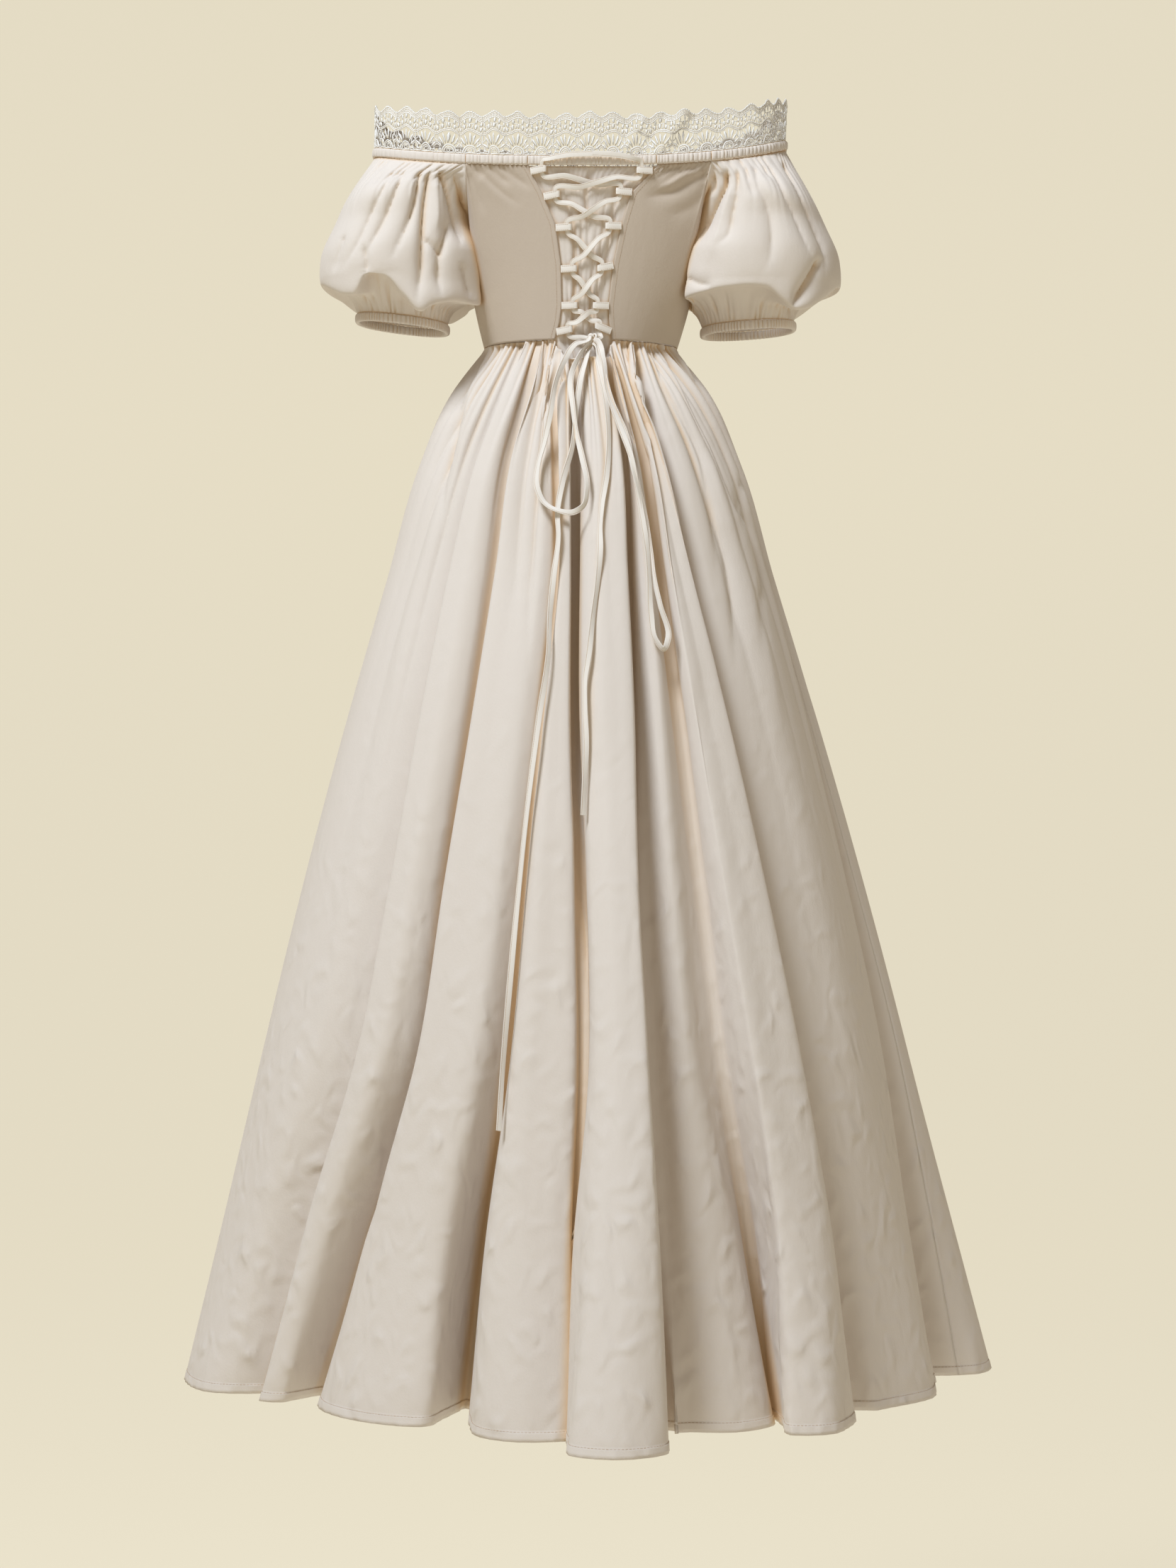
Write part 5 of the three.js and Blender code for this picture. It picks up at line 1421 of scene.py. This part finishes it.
def loop(word, side, i):
    """A flat loop that reaches over the opening, stitched along both edges."""
    z = LOOPS[i][0 if side < 0 else 1]
    tilt = LOOP_TILTS[word][i]
    edge = loop_edge(side, z) + side * 0.5
    deep = LOOP_DEEP
    bend = deep / 2 - 0.5
    flat = [(0, 0.6), (5, 0.4), (LOOP_REACH - bend - 0.6, 0.5)]
    flat += [(LOOP_REACH - bend + bend * math.sin(a), deep / 2 - bend * math.cos(a))
             for a in np.linspace(0.5, math.pi - 0.5, 7)]
    flat += [(LOOP_REACH - bend - 0.6, deep - 0.5), (5, deep - 0.9), (0, deep - 1.6)]
    flat = resample(flat, 0.8)
    path = np.array([(edge - side * r, 0, z + tilt * r / LOOP_REACH) for r, o in flat])
    path[:, 1] = [loop_foot(p[0], p[2]) - o for p, (r, o) in zip(path, flat)]
    along = unit(np.gradient(path, axis=0))
    normal = unit(np.cross(along, UP)) * side
    ups = unit(np.cross(normal, along)) * side
    half, thick = LOOP_HEIGHT / 2, LOOP_WALL / 2
    pinch = 1 - 0.1 * smooth((flat[:, 0] - LOOP_REACH + 6) / 5)
    sections = np.repeat(np.array(LOOP_SECTION)[None], len(path), axis=0)
    sections *= np.stack([np.full(len(path), thick), half * pinch], axis=1)[:, None]
    name = f"loop_{word}_{i}"
    piece(name, *tube(path, normal, ups, sections), TIE_CLOTH, [name], "tie")
    outer = flat[:, 1] > deep * 0.6
    face = path[outer & (flat[:, 0] < LOOP_REACH - 2)]
    if len(face) > 2:
        outs = np.tile([0, -1.0, 0], (len(face), 1))
        for row in (-0.74, 0.74):
            stitch_row(face + [0, -thick, row * half], outs, pitch=2.2, long=1.5, thick=0.16)


for i in range(len(LOOPS)):
    loop("left", -1, i)
    loop("right", 1, i)


def ribbon(name, places, widths, twist, nodes, stitched=True):
    """A folded, stitched tie along a list of places, its face towards the back unless twisted."""
    line = resample(np.column_stack([places, widths, twist]), 1.4)
    path, width, turn = line[:, :3], line[:, 3], line[:, 4]
    along = unit(np.gradient(path, axis=0))
    up = unit(np.cross(along, [0, -1.0, 0]))
    out = unit(np.cross(up, along))
    c, s = np.cos(turn)[:, None], np.sin(turn)[:, None]
    out, up = out * c + up * s, up * c - out * s
    t = TIE_THICK / 2
    us = np.array([-1, -0.95, -0.75, -0.2, 0.3, 0.54, 0.62, 0.7, 0.95, 1])
    tops = np.array([0.3, 0.85, 1.0, 1.05, 1.0, 0.9, 0.35, 0.8, 0.85, 0.3])
    front = np.column_stack([tops * t, us])
    back = np.column_stack([-t * np.array([0.35, 0.9, 1, 0.9, 0.35]), [1, 0.75, 0, -0.75, -1]])
    section = np.concatenate([front, back])
    sections = np.repeat(section[None], len(path), axis=0)
    sections[:, :, 1] *= width[:, None] / 2
    obj = piece(name, *tube(path, out, up, sections), TIE_CLOTH, nodes, "tie")
    if stitched:
        groove = path + up * (0.62 * width / 2)[:, None] + out * 0.35
        stitch_row(groove, out, pitch=2.6, long=1.7, thick=0.2)
    length = np.linalg.norm(np.diff(path, axis=0), axis=1).sum()
    return obj, path, length


KNOT = np.array([KNOT_X, back_y(KNOT_X, KNOT_Z) - KNOT_OFF, KNOT_Z])


def knot():
    """A small overhand knot: one flat tie wound through itself."""
    a = np.linspace(0, TURN, 90, endpoint=False)
    path = np.stack([
        KNOT[0] + 1.55 * (np.sin(a) + 2 * np.sin(2 * a)),
        KNOT[1] - 1.7 * np.sin(3 * a),
        KNOT[2] + 2.0 * (np.cos(a) - 2 * np.cos(2 * a)) - 0.5], axis=1)
    along = unit(np.roll(path, -1, axis=0) - np.roll(path, 1, axis=0))
    out = unit(path - KNOT)
    out = unit(out - along * np.sum(out * along, axis=1, keepdims=True))
    up = np.cross(along, out)
    section = [
        (1.5, 0), (1.2, 1.9), (0.3, 2.6), (-0.9, 2.2), (-1.3, 0), (-0.9, -2.2), (0.3, -2.6), (1.2, -1.9)]
    piece("bow_knot", *tube(path, out, up, section, closed=True), TIE_CLOTH, ["bow_knot"], "tie")


knot()


def lacing(name, side):
    """One run of the tie: from the middle of the bar down through the loops to the knot."""
    def at(s, i):
        z = LOOPS[i][1 if s > 0 else 0]
        tilt = LOOP_TILTS["right" if s > 0 else "left"][i]
        return loop_edge(s, z) - s * (LOOP_REACH - 5.4), z + tilt * 0.7

    top = at(side, 0)
    places = [
        (KNOT_X + side * 0.15, loop_foot(KNOT_X, -8) - 8.4, -0.2),
        (KNOT_X + (top[0] - KNOT_X) * 0.5, loop_foot((KNOT_X + top[0]) / 2, -8) - 8.2, -1.6),
        (KNOT_X + (top[0] - KNOT_X) * 0.85, loop_foot(top[0], -8) - 7.6, -5.2),
        (top[0] - side * 1.0, loop_foot(top[0], -9) - 4.6, top[1] + 9.5)]
    widths, twist = [6.0, 6.2, 5.6, 5.2], [0, 0.1, 0.2, 0.3]
    for i in range(len(LOOPS)):
        s = -side if i % 2 else side
        x, z = at(s, i)
        for dz, w in ((5.4, 5.0), (0, 4.4), (-5.4, 4.8)):
            if i == 0 and dz > 5:
                continue
            places.append((x - s * (0.8 if dz < 0 else 0), loop_foot(x, z + dz) - LOOP_DEEP / 2, z + dz))
            widths.append(w)
            twist.append(0)
        if i == len(LOOPS) - 1:
            break
        nx, nz = at(-s, i + 1)
        over = (i % 2 == 0) if side > 0 else (i % 2 == 1)
        for t, w in ((0.3, 5.8), (0.5, 6.2), (0.7, 5.8)):
            px, pz = x + (nx - x) * t, z + (nz - z) * t
            lift = (5.4 if over else 2.0) if t == 0.5 else (4.4 if over else 2.4)
            places.append((px, loop_foot(px, pz) - lift, pz))
            widths.append(w)
            twist.append(0.35 * math.sin(i * 2.3 + side + t * 5))
    s = -side if (len(LOOPS) - 1) % 2 else side
    places += [(KNOT[0] + s * 9, KNOT[1] + 3, KNOT_Z + 1.5), (KNOT[0] + s * 5, KNOT[1] + 0.6, KNOT_Z + 0.5)]
    widths += [4.6, 3.6]
    twist += [0, 0]
    return ribbon(name, np.array(places), np.array(widths), np.array(twist), [name], stitched=False)


LACED = {name: lacing(name, side) for name, side in (("lacing_left", -1), ("lacing_right", 1))}


# Bow: two hanging loops and two free ends

def strand(name, rows, from_knot):
    """A tie that hangs from the knot in front of the skirt."""
    places = []
    for x, z, off in rows:
        if z < WAIST_Z - 12:
            behind = [skirt_back(x + dx, z, 5) for dx in (-6, 0, 6)]
        else:
            behind = [back_y(x + dx, max(z, WAIST_Z)) - 2 for dx in (-6, 0, 6)]
        places.append((x, min(behind) - off * 0.85, z))
    places = np.array(places)
    # a hanging tie bridges the hollows: its line out from the cloth is evened
    y = places[:, 1].copy()
    for _ in range(3):
        y[1:-1] = np.minimum(y[1:-1], (y[:-2] + y[2:]) / 2 + 1.5)
    places[:, 1] = y
    closed = name.startswith("bow")
    start = KNOT + np.array(from_knot[0])
    places = np.concatenate([[start], places])
    if closed:
        places = np.concatenate([places, [KNOT + np.array(from_knot[1])]])
    n = len(places)
    widths = np.full(n, float(TIE_WIDTH))
    widths[0], widths[1] = 4.2, 5.6
    twist = 0.75 * np.sin(np.arange(n) * 1.1 + len(name))
    if closed:
        widths[-1], widths[-2] = 4.2, 5.6
    twist[0] = 0
    return ribbon(name, places, widths, twist, [name])


ROOTS = {
    "bow_loop_left": [(-3, -3.5, 2), (-1.5, -3, -4)], "bow_loop_right": [(2, -4.6, -2), (0.5, -3.8, -5)],
    "tie_end_left": [(-2, 0.5, -5)], "tie_end_right": [(2.5, 0.5, -5)],
}
HUNG = {name: strand(name, rows, ROOTS[name]) for name, rows in STRANDS.items()}

for name, (obj, path, length) in {**LACED, **HUNG}.items():
    laced = name.startswith("lacing")
    line = [tuple(p * MM) for p in (path[::-1] if laced else path)]


# Sewing: the opening's edges and the hem

for outer in BACKS.values():
    line = resample(outer[:, -4], 2) + [0, -0.15, 0]
    stitch_row(line, np.tile([0, -1.0, 0], (len(line), 1)), pitch=3.1, long=2.0, thick=0.2)
hem = SKIRT[-5]
hem_along = unit(np.roll(hem, -1, axis=0) - np.roll(hem, 1, axis=0))
hem_out = np.stack([hem_along[:, 1], -hem_along[:, 0], 0 * hem_along[:, 0]], axis=1)
stitch_row(hem + hem_out * 0.3, hem_out, pitch=3.8, long=2.5, thick=0.22)
STITCHES.piece("stitching", THREAD, slot="tie")


# Stage: a plain pale backdrop that curves into the floor, and soft light from the upper left

def stage():
    """The backdrop: a floor that curves up into a wall."""
    floor, front, wall, top, half, bend = -1.95, -9, 8, 8, 11, 2.5
    profile = [(front, floor), (wall - bend, floor)]
    for k in range(1, 13):
        a = k / 12 * math.pi / 2
        profile.append((wall - bend + bend * math.sin(a), floor + bend * (1 - math.cos(a))))
    profile.append((wall, top))
    points = [(x, y, z) for x in (-half, half) for y, z in profile]
    n = len(profile)
    faces = [(i, i + 1, n + i + 1, n + i) for i in range(n - 1)]
    mesh = bpy.data.meshes.new("backdrop")
    mesh.from_pydata(points, [], faces)
    mesh.polygons.foreach_set("use_smooth", np.ones(len(mesh.polygons), bool))
    paper = bpy.data.materials.new("paper")
    paper.use_nodes = True
    shader = paper.node_tree.nodes["Principled BSDF"]
    shader.inputs["Base Color"].default_value = (0.30, 0.275, 0.215, 1)
    shader.inputs["Roughness"].default_value = 1
    shader.inputs["Specular IOR Level"].default_value = 0
    shader.inputs["Emission Color"].default_value = (0.765, 0.712, 0.57, 1)
    shader.inputs["Emission Strength"].default_value = 0.81
    mesh.materials.append(paper)
    backdrop = bpy.data.objects.new("backdrop", mesh)
    bpy.context.scene.collection.objects.link(backdrop)


def area_light(name, place, aim, size, watts, colour):
    light = bpy.data.lights.new(name, "AREA")
    light.size = size
    light.energy = watts
    light.color = colour
    holder = bpy.data.objects.new(name, light)
    holder.location = place
    holder.rotation_euler = (Vector(aim) - Vector(place)).to_track_quat("-Z", "Y").to_euler()
    bpy.context.scene.collection.objects.link(holder)


stage()
area_light("key", (-1.75, -2.55, 3.5), (0, 0, -0.5), 1.4, 262, (0.86, 0.925, 1))
area_light("fill", (3.0, -3.6, 0.2), (0, 0, -0.7), 2.6, 12, (1, 0.95, 0.88))
world = bpy.data.worlds.new("world")
world.use_nodes = True
sky = world.node_tree.nodes["Background"]
sky.inputs["Color"].default_value = (1, 0.86, 0.68, 1)
sky.inputs["Strength"].default_value = 0.22
bpy.context.scene.world = world
bpy.context.scene.view_settings.view_transform = "Standard"
